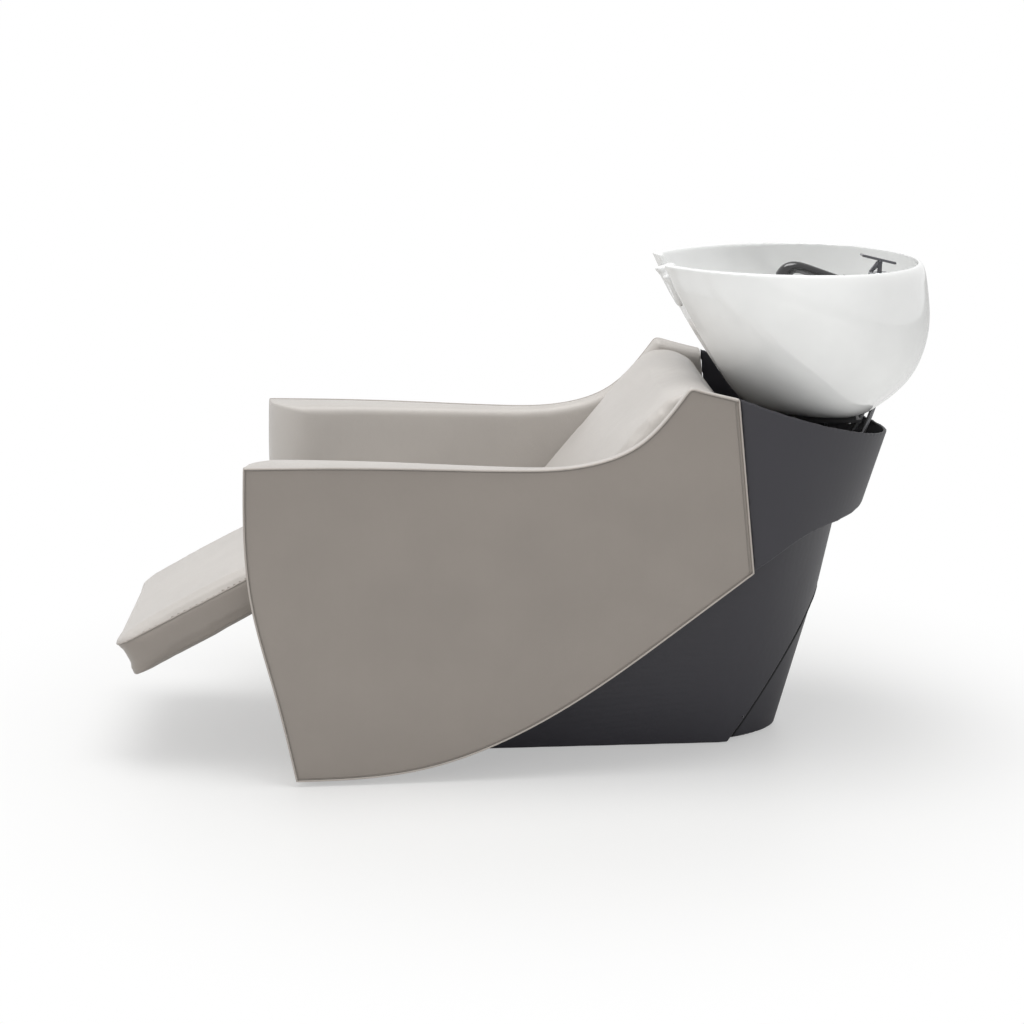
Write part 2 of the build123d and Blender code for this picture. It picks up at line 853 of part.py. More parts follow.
def post(centre_x, length, width, low, high):
    """An upright rectangular tube."""
    with BuildPart() as tube:
        with BuildSketch(Plane.XY.offset(low)):
            with Locations((centre_x, 0)):
                Rectangle(length, width)
                Rectangle(length - 2 * tube_wall, width - 2 * tube_wall, mode=Mode.SUBTRACT)
        extrude(amount=high - low)
    return tube.part


def upright(x, y, radius, low, high, bore=0.0):
    """A cylinder or a tube along Z between two heights."""
    with BuildPart() as cylinder:
        with BuildSketch(Plane.XY.offset(low)):
            with Locations((x, y)):
                Circle(radius)
                if bore:
                    Circle(bore, mode=Mode.SUBTRACT)
        extrude(amount=high - low)
    return cylinder.part


def crosswise(x, z, radius, low, high, bore=0.0):
    """A cylinder or a tube along Y between two distances."""
    with BuildPart() as cylinder:
        with BuildSketch(Plane(origin=(0, low, 0), x_dir=(1, 0, 0), z_dir=(0, -1, 0))):
            with Locations((x, z)):
                Circle(radius)
                if bore:
                    Circle(bore, mode=Mode.SUBTRACT)
        extrude(amount=low - high)
    return cylinder.part


def between_arms(clearance, pull_in, x_low, x_high):
    """Plan of what fits between the panels, its sides drawn in a little at mid-length."""
    stops = (x_low, arm_waist_x, x_high)
    far = [(x, arm_inner_y(x) - clearance) for x in stops]
    near = [(x, -y) for x, y in far[::-1]]
    with BuildSketch(Plane.XY) as plan:
        with BuildLine():
            for start, end in (far[:2], far[1:], near[:2], near[1:]):
                inward = -pull_in if start[1] > 0 else pull_in
                middle = ((start[0] + end[0]) / 2, (start[1] + end[1]) / 2 + inward)
                if pull_in:
                    ThreePointArc(start, middle, end)
                else:
                    Line(start, end)
            Line(far[2], near[0])
            Line(near[2], far[0])
        make_face()
    return plan.sketch


# Panels of the two armrests: -Y is the sitter's left
arm_parts = {}
for side, name in ((-1, "left"), (1, "right")):
    whole = arm_body(side, 0)
    core = arm_body(side, pad_thickness)
    bolts = bolt_group(side)
    welt = welt_body(side)
    arm_parts[side] = whole

    with BuildPart() as carcass:
        add(core)
        add(bolts, mode=Mode.SUBTRACT)
    carcass.part.label = f"{name}_arm_carcass"
    export_step(carcass.part, f"parts/{name}_arm_carcass.step")

    with BuildPart() as cover:
        add(whole)
        add(core, mode=Mode.SUBTRACT)
        add(welt, mode=Mode.SUBTRACT)
        add(bolts, mode=Mode.SUBTRACT)
    cover.part.label = f"{name}_arm_cover"
    export_step(cover.part, f"parts/{name}_arm_cover.step")

    with BuildPart() as piping:
        add(welt)
    piping.part.label = f"{name}_arm_piping"
    export_step(piping.part, f"parts/{name}_arm_piping.step")

# Foot plate with its four anchor holes
with BuildPart() as base_plate:
    with BuildSketch(Plane.XY):
        with Locations(((plate_front_x + plate_rear_x) / 2, 0)):
            Rectangle(plate_rear_x - plate_front_x, 2 * plate_half_width)
        with Locations((anchor_centre_x, 0)):
            with GridLocations(anchor_spacing_x, anchor_spacing_y, 2, 2):
                Circle(anchor_hole_radius, mode=Mode.SUBTRACT)
    extrude(amount=plate_thickness)
base_plate.part.label = "base_plate"
export_step(base_plate.part, "parts/base_plate.step")

# Front post with a head under both rails
with BuildPart() as front_post:
    add(post(front_post_x, front_post_size, front_post_size, plate_thickness, cross_tube_bottom))
    with BuildSketch(Plane.XY.offset(cross_tube_bottom)):
        with Locations((front_post_x, 0)):
            Rectangle(front_post_size, 2 * (rail_offset_y + rail_width / 2))
    extrude(amount=rail_bottom - cross_tube_bottom)
front_post.part.label = "front_post"
export_step(front_post.part, "parts/front_post.step")

with BuildPart() as rear_post:
    add(post(rear_post_x, rear_post_length, rear_post_width, plate_thickness, rear_post_top))
rear_post.part.label = "rear_post"
export_step(rear_post.part, "parts/rear_post.step")

# Cross tubes from panel to panel, and the flanges that carry the panels
cross_tube_bore = cross_tube_size - 2 * tube_wall
with BuildPart() as cross_tubes:
    for x in (front_cross_x, rear_cross_x):
        with BuildSketch(Plane.XZ):
            with Locations((x, cross_tube_bottom + cross_tube_size / 2)):
                Rectangle(cross_tube_size, cross_tube_size)
                Rectangle(cross_tube_bore, cross_tube_bore, mode=Mode.SUBTRACT)
        extrude(amount=flange_face_y(x), both=True)
cross_tubes.part.label = "cross_tubes"
export_step(cross_tubes.part, "parts/cross_tubes.step")

bolts_left, bolts_right = bolt_group(-1), bolt_group(1)
with BuildPart() as arm_flanges:
    for x in (front_cross_x, rear_cross_x):
        for side in (-1, 1):
            start = (x, side * flange_face_y(x), cross_tube_bottom + cross_tube_size / 2)
            with BuildSketch(Plane(origin=start, z_dir=(0, side, 0))):
                Rectangle(flange_length, flange_height)
            extrude(amount=flange_thickness * 2)
    add(arm_parts[-1], mode=Mode.SUBTRACT)
    add(arm_parts[1], mode=Mode.SUBTRACT)
    add(bolts_left, mode=Mode.SUBTRACT)
    add(bolts_right, mode=Mode.SUBTRACT)
arm_flanges.part.label = "arm_flanges"
export_step(arm_flanges.part, "parts/arm_flanges.step")

with BuildPart() as arm_bolts:
    add(bolts_left)
    add(bolts_right)
arm_bolts.part.label = "arm_bolts"
export_step(arm_bolts.part, "parts/arm_bolts.step")

# Rails beside the rear post, the seat's board and the back's board
with BuildPart() as seat_rails:
    rail_rear_x = rear_post_x + rear_post_length / 2
    for side in (-1, 1):
        with BuildSketch(Plane.YZ.offset(rail_front_x)):
            with Locations((side * rail_offset_y, rail_bottom + rail_height / 2)):
                Rectangle(rail_width, rail_height)
                Rectangle(rail_width - 2 * tube_wall, rail_height - 2 * tube_wall, mode=Mode.SUBTRACT)
        extrude(amount=rail_rear_x - rail_front_x)
seat_rails.part.label = "seat_rails"
export_step(seat_rails.part, "parts/seat_rails.step")

board_plan = between_arms(board_clearance, 0, seat_front_x + board_setback, back_foot_x + back_thickness * 2)
with BuildPart() as seat_board:
    add(side_box(seat_front_x, arm_rear_x, seat_board_z, seat_cushion_z, arm_front_half_width))
    extrude(board_plan, amount=arm_height, mode=Mode.INTERSECT)
    with BuildSketch(back_plane):
        with Locations((0, -back_rear - overrun * 4)):
            Rectangle(arm_height * 2, overrun * 8)
    extrude(amount=arm_front_half_width, both=True, mode=Mode.SUBTRACT)
seat_board.part.label = "seat_board"
export_step(seat_board.part, "parts/seat_board.step")

back_board_plan = between_arms(board_clearance, 0, seat_front_x, arm_rear_x)
with BuildPart() as back_board:
    with BuildSketch(back_plane):
        with BuildLine():
            Polyline(
                (along_back(seat_cushion_z, back_thickness), -back_thickness),
                (back_board_length, -back_thickness),
                (back_board_length, -back_rear),
                (along_back(seat_cushion_z, back_rear), -back_rear),
                close=True,
            )
        make_face()
    extrude(amount=arm_front_half_width, both=True)
    extrude(back_board_plan, amount=arm_height * 2, mode=Mode.INTERSECT)
back_board.part.label = "back_board"
export_step(back_board.part, "parts/back_board.step")

with BuildPart() as back_struts:
    for side in (-1, 1):
        with BuildSketch(back_plane.offset(side * strut_offset_y)):
            with BuildLine():
                Polyline(
                    (along_back(seat_board_z, back_rear), -back_rear),
                    (strut_length, -back_rear),
                    (strut_length, -back_rear - strut_thickness),
                    (along_back(seat_board_z, back_rear + strut_thickness), -back_rear - strut_thickness),
                    close=True,
                )
            make_face()
        extrude(amount=strut_width / 2, both=True)
back_struts.part.label = "back_struts"
export_step(back_struts.part, "parts/back_struts.step")

apron_rear_x = front_cross_x - cross_tube_size / 2
apron_half_width = flange_face_y(front_cross_x) - bolt_head_height - side_clearance
with BuildPart() as seat_apron:
    add(side_box(apron_x, apron_rear_x, apron_bottom, rail_bottom, apron_half_width))
seat_apron.part.label = "seat_apron"
export_step(seat_apron.part, "parts/seat_apron.step")

# Seat cushion: crowned, its rear face against the back cushion
cushion_plan = between_arms(side_clearance, side_pull_in, seat_front_x - overrun, arm_rear_x)
seat_top_z = seat_cushion_z + seat_cushion_thickness
with BuildPart() as seat_cushion:
    with BuildSketch(Plane.XZ):
        with BuildLine():
            seat_rear_run = (back_foot_z - seat_cushion_z) / math.tan(math.radians(back_slope))
            Polyline(
                (back_foot_x, back_foot_z),
                (back_foot_x - seat_rear_run, seat_cushion_z),
                (seat_front_x, seat_cushion_z),
                (seat_front_x, seat_top_z - seat_front_radius),
            )
            ThreePointArc(
                (seat_front_x, seat_top_z - seat_front_radius),
                (
                    seat_front_x + seat_front_radius * (1 - math.sqrt(0.5)),
                    seat_top_z - seat_front_radius * (1 - math.sqrt(0.5)),
                ),
                (seat_front_x + seat_front_radius, seat_top_z),
            )
            ThreePointArc(
                (seat_front_x + seat_front_radius, seat_top_z),
                ((seat_front_x + back_foot_x) / 2, seat_top_z + seat_crown),
                (back_foot_x, back_foot_z),
            )
        make_face()
    extrude(amount=arm_front_half_width, both=True)
    extrude(cushion_plan, amount=arm_height, mode=Mode.INTERSECT)
    with BuildSketch(Plane.YZ.offset(seat_front_x - overrun)):
        with BuildLine():
            Polyline(
                (arm_front_half_width, seat_top_z),
                (arm_front_half_width, seat_cushion_z - overrun),
                (-arm_front_half_width, seat_cushion_z - overrun),
                (-arm_front_half_width, seat_top_z),
            )
            ThreePointArc(
                (-arm_front_half_width, seat_top_z - seat_crown),
                (0, seat_top_z + seat_crown),
                (arm_front_half_width, seat_top_z - seat_crown),
            )
            Line((-arm_front_half_width, seat_top_z), (-arm_front_half_width, seat_top_z - seat_crown))
            Line((arm_front_half_width, seat_top_z), (arm_front_half_width, seat_top_z - seat_crown))
        make_face()
    extrude(amount=arm_length, mode=Mode.INTERSECT)
seat_cushion.part.label = "seat_cushion"
export_step(seat_cushion.part, "parts/seat_cushion.step")

# Back cushion: crowned face, rolled top
face_plane = Plane(origin=back_plane.origin, x_dir=(0, 1, 0), z_dir=back_plane.x_dir)
back_top = [
    (back_face_length + along * back_top_drop, -deep * back_thickness) for along, deep in back_top_shares
]
with BuildPart() as back_cushion:
    with BuildSketch(back_plane):
        with BuildLine():
            ThreePointArc((0, 0), (back_face_length / 2, back_crown), (back_face_length, 0))
            Spline(*back_top)
            Polyline(
                back_top[-1],
                (along_back(seat_cushion_z, back_thickness), -back_thickness),
                (along_back(seat_cushion_z, 0), 0),
                (0, 0),
            )
        make_face()
    extrude(amount=arm_front_half_width, both=True)
    extrude(cushion_plan, amount=arm_height * 2, mode=Mode.INTERSECT)
    with BuildSketch(face_plane):
        with BuildLine():
            Polyline(
                (arm_front_half_width, 0),
                (arm_front_half_width, -back_thickness - overrun),
                (-arm_front_half_width, -back_thickness - overrun),
                (-arm_front_half_width, 0),
            )
            ThreePointArc((-arm_front_half_width, 0), (0, back_crown), (arm_front_half_width, 0))
        make_face()
    extrude(amount=arm_length, both=True, mode=Mode.INTERSECT)
back_cushion.part.label = "back_cushion"
export_step(back_cushion.part, "parts/back_cushion.step")

# Base shell in two halves, with a lip round the opening at the rear
shell_front_of_edge = before_service_edge(0, shell_floor_gap)
shell_front_of_lip = before_service_edge(shell_wall, 0)
shell_cut = shell_top_cut()
outer_form = shell_body(0)
inner_form = shell_body(shell_wall)
lip_form = shell_body(shell_wall + service_flange)
with BuildPart() as lip:
    add(outer_form)
    extrude(shell_front_of_edge, amount=shell_top_half_width + overrun, both=True, mode=Mode.INTERSECT)
    extrude(shell_front_of_lip, amount=shell_top_half_width + overrun, both=True, mode=Mode.SUBTRACT)
    add(lip_form, mode=Mode.SUBTRACT)
with BuildPart() as whole_shell:
    add(outer_form)
    add(inner_form, mode=Mode.SUBTRACT)
    extrude(shell_front_of_edge, amount=shell_top_half_width + overrun, both=True, mode=Mode.INTERSECT)
    add(lip.part)
    extrude(shell_cut, amount=shell_top_half_width + overrun, both=True, mode=Mode.SUBTRACT)
for side, name in ((-1, "left"), (1, "right")):
    with BuildPart() as shell_half:
        add(whole_shell.part)
        with BuildSketch(Plane.XZ):
            with Locations(((shell_front_x + shell_top_tip_x) / 2, shell_top_z / 2)):
                Rectangle(arm_length * 2, shell_top_z * 2)
        extrude(amount=side * arm_front_half_width, mode=Mode.SUBTRACT)
    shell_half.part.label = f"side_shell_{name}"
    export_step(shell_half.part, f"parts/side_shell_{name}.step")

# Service panel
service_outer = service_body(0)
service_inner = service_body(shell_wall)
service_region = behind_service_edge()
with BuildPart() as service_panel:
    add(service_outer)
    add(service_inner, mode=Mode.SUBTRACT)
    extrude(service_region, amount=shell_top_half_width + overrun, both=True, mode=Mode.INTERSECT)
service_panel.part.label = "service_panel"
export_step(service_panel.part, "parts/service_panel.step")

# Collar that the basin sits in
collar_outer = collar_body(0, collar_form_low, collar_form_high)
collar_inner = collar_body(collar_wall, collar_form_low, collar_form_high)
collar_region = collar_side(0, 0, 0)
collar_hollow = collar_side(collar_wall, overrun, overrun)
with BuildPart() as hollow:
    add(collar_inner)
    extrude(collar_hollow, amount=arm_front_half_width, both=True, mode=Mode.INTERSECT)
with BuildPart() as cradle_collar:
    add(collar_outer)
    extrude(collar_region, amount=arm_front_half_width, both=True, mode=Mode.INTERSECT)
    add(hollow.part, mode=Mode.SUBTRACT)
    add(outer_form, mode=Mode.SUBTRACT)
cradle_collar.part.label = "cradle_collar"
export_step(cradle_collar.part, "parts/cradle_collar.step")

# Footrest: sleeve on an axle between two blocks on the panels
with BuildPart() as footrest_axle:
    add(crosswise(footrest_pivot_x, footrest_pivot_z, axle_radius, -axle_half_length, axle_half_length))
footrest_axle.part.label = "footrest_axle"
export_step(footrest_axle.part, "parts/footrest_axle.step")

with BuildPart() as axle_blocks:
    for low, high in ((block_inner_y, arm_front_half_width), (-arm_front_half_width, -block_inner_y)):
        add(crosswise(footrest_pivot_x, footrest_pivot_z, bearing_block_radius, low, high))
    add(arm_parts[-1], mode=Mode.SUBTRACT)
    add(arm_parts[1], mode=Mode.SUBTRACT)
    add(footrest_axle.part, mode=Mode.SUBTRACT)
    with BuildSketch(Plane.XZ):
        with Locations((footrest_pivot_x, footrest_pivot_z)):
            Rectangle(bearing_block_radius * 2, bearing_block_radius * 2)
    extrude(amount=(block_inner_y + pad_thickness * 3), both=True, mode=Mode.INTERSECT)
axle_blocks.part.label = "axle_blocks"
export_step(axle_blocks.part, "parts/axle_blocks.step")

with BuildPart() as footrest_sleeve:
    add(
        crosswise(
            footrest_pivot_x,
            footrest_pivot_z,
            sleeve_radius,
            -footrest_half_width,
            footrest_half_width,
            axle_radius + running_gap,
        )
    )
footrest_sleeve.part.label = "footrest_sleeve"
export_step(footrest_sleeve.part, "parts/footrest_sleeve.step")

half_thickness = footrest_thickness / 2
with BuildPart() as footrest_board:
    with BuildSketch(footrest_plane):
        with BuildLine():
            Polyline(
                (sleeve_radius + board_thickness / 2, -half_thickness),
                (footrest_reach - footrest_board_inset, -half_thickness),
                (footrest_reach - footrest_board_inset, board_thickness - half_thickness),
                (sleeve_radius + board_thickness / 2, board_thickness - half_thickness),
                close=True,
            )
        make_face()
    extrude(amount=footrest_half_width - footrest_board_inset, both=True)
footrest_board.part.label = "footrest_board"
export_step(footrest_board.part, "parts/footrest_board.step")

with BuildPart() as footrest_brackets:
    for side in (-1, 1):
        with BuildSketch(footrest_plane.offset(side * footrest_bracket_y)):
            with Locations((board_thickness, board_thickness - half_thickness)):
                Rectangle(footrest_bracket_length - board_thickness, bracket_bar_height, align=Align.MIN)
            with Locations((sleeve_radius, 0)):
                Rectangle(2 * sleeve_radius, 2 * (half_thickness - board_thickness))
            Circle(sleeve_radius, mode=Mode.SUBTRACT)
        extrude(amount=footrest_bracket_thickness / 2, both=True)
footrest_brackets.part.label = "footrest_brackets"
export_step(footrest_brackets.part, "parts/footrest_brackets.step")

hinge = footrest_plane.origin
rest_plan_plane = Plane(origin=hinge, x_dir=footrest_plane.x_dir, z_dir=footrest_plane.y_dir)
rest_across_plane = Plane(origin=hinge, x_dir=(0, 1, 0), z_dir=footrest_plane.x_dir)
with BuildPart() as footrest_cushion:
    with BuildSketch(footrest_plane):
        with BuildLine():
            ThreePointArc((0, half_thickness), (-half_thickness, 0), (0, -half_thickness))
            Polyline(
                (0, -half_thickness),
                (footrest_reach, -half_thickness),
                (footrest_reach, half_thickness),
            )
            ThreePointArc(
                (footrest_reach, half_thickness),
                (footrest_reach / 2, half_thickness + footrest_crown),
                (0, half_thickness),
            )
        footrest_face = make_face()
        fillet(
            [v for v in footrest_face.vertices() if abs(v.X - footrest_reach) < footrest_corner_radius],
            footrest_edge_radius,
        )
    extrude(amount=footrest_half_width + overrun, both=True)
    with BuildSketch(rest_plan_plane):
        with BuildLine():
            Line((-half_thickness, footrest_half_width), (-half_thickness, -footrest_half_width))
            ThreePointArc(
                (-half_thickness, -footrest_half_width),
                (footrest_reach / 2, side_pull_in - footrest_half_width),
                (footrest_reach, -footrest_half_width),
            )
            Line((footrest_reach, -footrest_half_width), (footrest_reach, footrest_half_width))
            ThreePointArc(
                (footrest_reach, footrest_half_width),
                (footrest_reach / 2, footrest_half_width - side_pull_in),
                (-half_thickness, footrest_half_width),
            )
        rest_face = make_face()
        fillet(
            [v for v in rest_face.vertices() if v.X > footrest_reach / 2],
            footrest_corner_radius,
        )
    extrude(amount=footrest_thickness, both=True, mode=Mode.INTERSECT)
    with BuildSketch(rest_across_plane):
        with BuildLine():
            Polyline(
                (footrest_half_width, half_thickness),
                (footrest_half_width, -footrest_thickness),
                (-footrest_half_width, -footrest_thickness),
                (-footrest_half_width, half_thickness),
            )
            ThreePointArc(
                (-footrest_half_width, half_thickness),
                (0, half_thickness + footrest_crown),
                (footrest_half_width, half_thickness),
            )
        make_face()
    extrude(amount=footrest_reach + overrun, both=True, mode=Mode.INTERSECT)
    add(footrest_board.part, mode=Mode.SUBTRACT)
    add(footrest_brackets.part, mode=Mode.SUBTRACT)
    add(
        crosswise(
            footrest_pivot_x,
            footrest_pivot_z,
            sleeve_radius,
            -footrest_half_width - overrun,
            footrest_half_width + overrun,
        ),
        mode=Mode.SUBTRACT,
    )
footrest_cushion.part.label = "footrest_cushion"
export_step(footrest_cushion.part, "parts/footrest_cushion.step")

# Basin: an egg-shaped bowl with a hollow shield, a neck notch and a deck at the rear
deck_block = side_box(deck_x, bowl_front_x + bowl_length + overrun, bowl_bottom_z, deck_z, bowl_half_width)
with BuildPart() as under_deck:
    add(bowl_form(bowl_wall, bowl_floor, bowl_wall))
    add(
        side_box(
            deck_x + deck_thickness,
            bowl_front_x + bowl_length,
            bowl_bottom_z,
            deck_z - deck_thickness,
            bowl_half_width,
        ),
        mode=Mode.INTERSECT,
    )
with BuildPart() as cavity:
    add(bowl_form(bowl_wall, bowl_floor, bowl_wall))
    add(deck_block, mode=Mode.SUBTRACT)
    add(shield_cutter(bowl_wall), mode=Mode.SUBTRACT)
screw_spots = [
    (drain_x + along * bowl_screw_pitch_x / 2, across * bowl_screw_pitch_y / 2)
    for along in (-1, 1)
    for across in (-1, 1)
]
pad_low_z = bracket_plate_z + bracket_plate_thickness
with BuildPart() as basin_screws:
    for x, y in screw_spots:
        add(upright(x, y, screw_radius, bracket_plate_z, bowl_bottom_z + bowl_screw_depth))
        add(upright(x, y, screw_head_radius, bracket_plate_z - screw_head_height, bracket_plate_z))
basin_screws.part.label = "basin_screws"
export_step(basin_screws.part, "parts/basin_screws.step")

with BuildPart() as bowl:
    add(bowl_form(0, 0, 0))
    add(cavity.part, mode=Mode.SUBTRACT)
    add(under_deck.part, mode=Mode.SUBTRACT)
    add(shield_cutter(0), mode=Mode.SUBTRACT)
    with BuildSketch(shield_plane):
        with Locations((0, notch_centre)):
            Circle(notch_half_width)
        with Locations((0, notch_centre)):
            Rectangle(2 * notch_half_width, overrun * 2, align=(Align.CENTER, Align.MIN))
    extrude(amount=notch_run, both=True, mode=Mode.SUBTRACT)
    with BuildSketch(Plane.XY.offset(bowl_bottom_z - overrun)):
        with Locations((drain_x, 0)):
            Circle(drain_hole_radius)
    extrude(amount=overrun + bowl_floor + overrun, mode=Mode.SUBTRACT)
    with BuildSketch(Plane.XY.offset(bowl_bottom_z - overrun)):
        with Locations((hose_port_x, 0)):
            Rectangle(hose_port_length, hose_port_width)
    extrude(amount=overrun + hose_port_height, mode=Mode.SUBTRACT)
    with BuildSketch(Plane.XY.offset(deck_z - 2 * deck_thickness)):
        with Locations((mixer_x, mixer_y)):
            Circle(mixer_hole_radius)
        with Locations((ferrule_x, ferrule_y)):
            Circle(ferrule_hole_radius)
    extrude(amount=3 * deck_thickness, mode=Mode.SUBTRACT)
    add(basin_screws.part, mode=Mode.SUBTRACT)
bowl.part.label = "bowl"
export_step(bowl.part, "parts/bowl.step")

# Soft neck rest, seated in the notch
with BuildPart() as neck_rest:
    with BuildSketch(shield_plane):
        with Locations((0, notch_centre)):
            Circle(notch_half_width)
            Rectangle(2 * notch_half_width, -notch_centre - neck_rest_drop, align=(Align.CENTER, Align.MIN))
        with Locations((0, notch_centre)):
            Circle(notch_half_width - neck_rest_thickness, mode=Mode.SUBTRACT)
            Rectangle(
                2 * (notch_half_width - neck_rest_thickness),
                overrun * 2,
                align=(Align.CENTER, Align.MIN),
                mode=Mode.SUBTRACT,
            )
        with Locations((0, -neck_rest_drop)):
            Rectangle(
                3 * notch_half_width,
                overrun * 2,
                align=(Align.CENTER, Align.MIN),
                mode=Mode.SUBTRACT,
            )
    extrude(amount=neck_rest_depth)
neck_rest.part.label = "neck_rest"
export_step(neck_rest.part, "parts/neck_rest.step")

# Tilting gear: bracket and bushes on the basin, cheeks and pin on the rear post
ear_outer_y = rear_post_width / 2 - ear_gap
ear_inner_y = ear_outer_y - ear_thickness
cheek_outer_y = rear_post_width / 2 + cheek_thickness
clamp_z = tilt_z - clamp_drop

with BuildPart() as cheek_plates:
    for side in (-1, 1):
        with BuildSketch(Plane.XZ.offset(-side * rear_post_width / 2)):
            with Locations(((cheek_front_x + cheek_rear_x) / 2, (cheek_bottom_z + cheek_top_z) / 2)):
                RectangleRounded(
                    cheek_rear_x - cheek_front_x, cheek_top_z - cheek_bottom_z, cheek_corner_radius
                )
            with Locations((tilt_x, tilt_z)):
                Circle(tilt_pin_radius, mode=Mode.SUBTRACT)
            with BuildLine():
                slot_start = -quarter_turn - clamp_slot_high
                slot_path = CenterArc(
                    (tilt_x, tilt_z), clamp_drop, slot_start, clamp_slot_high - clamp_slot_low
                )
            SlotArc(slot_path, 2 * (clamp_stud_radius + clamp_slot_gap), mode=Mode.SUBTRACT)
        extrude(amount=-side * cheek_thickness)
cheek_plates.part.label = "cheek_plates"
export_step(cheek_plates.part, "parts/cheek_plates.step")

with BuildPart() as tilt_pin:
    reach = cheek_outer_y + tilt_pin_head
    add(crosswise(tilt_x, tilt_z, tilt_pin_radius, -reach, reach))
    add(crosswise(tilt_x, tilt_z, tilt_pin_head_radius, cheek_outer_y, reach))
    add(crosswise(tilt_x, tilt_z, tilt_pin_head_radius, -reach, -cheek_outer_y))
tilt_pin.part.label = "tilt_pin"
export_step(tilt_pin.part, "parts/tilt_pin.step")

with BuildPart() as tilt_bushes:
    for low, high in ((-ear_outer_y, -bush_inner_y), (bush_inner_y, ear_outer_y)):
        add(crosswise(tilt_x, tilt_z, tilt_bush_radius, low, high, tilt_pin_radius + running_gap))
tilt_bushes.part.label = "tilt_bushes"
export_step(tilt_bushes.part, "parts/tilt_bushes.step")

with BuildPart() as tilt_bracket:
    add(
        side_box(
            bracket_front_x,
            bracket_rear_x,
            bracket_plate_z,
            bracket_plate_z + bracket_plate_thickness,
            bracket_half_width,
        )
    )
    ear_low = clamp_z - ear_foot
    for side in (-1, 1):
        with BuildSketch(Plane.XZ.offset(-side * ear_inner_y)):
            with Locations((tilt_x, (ear_low + bracket_plate_z) / 2)):
                Rectangle(2 * ear_half_length, bracket_plate_z - ear_low)
            with Locations((tilt_x, tilt_z)):
                Circle(tilt_bush_radius, mode=Mode.SUBTRACT)
            with Locations((tilt_x, clamp_z)):
                Circle(clamp_stud_radius, mode=Mode.SUBTRACT)
        extrude(amount=-side * ear_thickness)
    add(
        upright(drain_x, 0, bracket_hole_radius, bracket_plate_z - overrun, bowl_bottom_z),
        mode=Mode.SUBTRACT,
    )
    add(basin_screws.part, mode=Mode.SUBTRACT)
tilt_bracket.part.label = "tilt_bracket"
export_step(tilt_bracket.part, "parts/tilt_bracket.step")

with BuildPart() as basin_pad:
    add(side_box(rubber_pad_front_x, rubber_pad_rear_x, pad_low_z, bowl_bottom_z, bracket_half_width))
    add(upright(drain_x, 0, bracket_hole_radius, pad_low_z, bowl_bottom_z), mode=Mode.SUBTRACT)
    add(basin_screws.part, mode=Mode.SUBTRACT)
basin_pad.part.label = "basin_pad"
export_step(basin_pad.part, "parts/basin_pad.step")

stud_end_y = lever_offset_y + lever_thickness / 2
stud_foot_y = cheek_outer_y + clamp_gap + clamp_nut_height
with BuildPart() as clamp_stud:
    add(crosswise(tilt_x, clamp_z, clamp_stud_radius, -stud_foot_y, stud_end_y))
    add(
        crosswise(
            tilt_x,
            clamp_z,
            clamp_nut_radius,
            -stud_foot_y,
            -cheek_outer_y - clamp_gap,
        )
    )
clamp_stud.part.label = "clamp_stud"
export_step(clamp_stud.part, "parts/clamp_stud.step")

# Lever that locks the tilt, with a grip at its end
lever_turn = math.radians(lever_angle)
lever_plane = Plane(
    origin=(tilt_x, lever_offset_y, clamp_z),
    x_dir=(math.cos(lever_turn), 0, math.sin(lever_turn)),
    z_dir=(0, 1, 0),
)
with BuildPart() as lock_lever:
    add(crosswise(tilt_x, clamp_z, lever_hub_radius, lever_inner_y, lever_offset_y + lever_thickness))
    with BuildSketch(lever_plane):
        with Locations((lever_reach / 2, 0)):
            Rectangle(lever_reach, lever_height)
    extrude(amount=lever_thickness)
    with BuildSketch(lever_plane.offset((lever_thickness - grip_thickness) / 2)):
        with Locations((lever_reach - grip_length / 2, 0)):
            SlotOverall(grip_length, grip_height)
    extrude(amount=grip_thickness)
    add(
        crosswise(tilt_x, clamp_z, clamp_stud_radius + running_gap, lever_inner_y, stud_end_y + contact_gap),
        mode=Mode.SUBTRACT,
    )
lock_lever.part.label = "lock_lever"
export_step(lock_lever.part, "parts/lock_lever.step")

# Waste fitting and its lift-out strainer
floor_z = bowl_bottom_z + bowl_floor
flange_top_z = floor_z + waste_flange_thickness
waste_nut_z = bowl_bottom_z - waste_nut_height
neck_low_z = waste_nut_z - bracket_plate_thickness
neck_foot_z = neck_low_z - waste_flange_thickness
with BuildPart() as waste_fitting:
    add(upright(drain_x, 0, waste_flange_radius, floor_z, flange_top_z, waste_bore_radius))
    add(upright(drain_x, 0, waste_body_radius, neck_low_z, floor_z, waste_bore_radius))
    add(upright(drain_x, 0, waste_body_radius, neck_foot_z, neck_low_z, waste_tail_bore))
    add(upright(drain_x, 0, waste_tail_radius, waste_tail_z, neck_foot_z, waste_tail_bore))
    add(upright(drain_x, 0, waste_nut_radius, waste_nut_z, bowl_bottom_z, waste_bore_radius))
    with BuildSketch(Plane.XY.offset(bowl_bottom_z - waste_nut_height)):
        with Locations((drain_x, 0)):
            Circle(drain_hole_radius)
            Circle(waste_bore_radius, mode=Mode.SUBTRACT)
    extrude(amount=waste_nut_height + bowl_floor)
waste_fitting.part.label = "waste_fitting"
export_step(waste_fitting.part, "parts/waste_fitting.step")

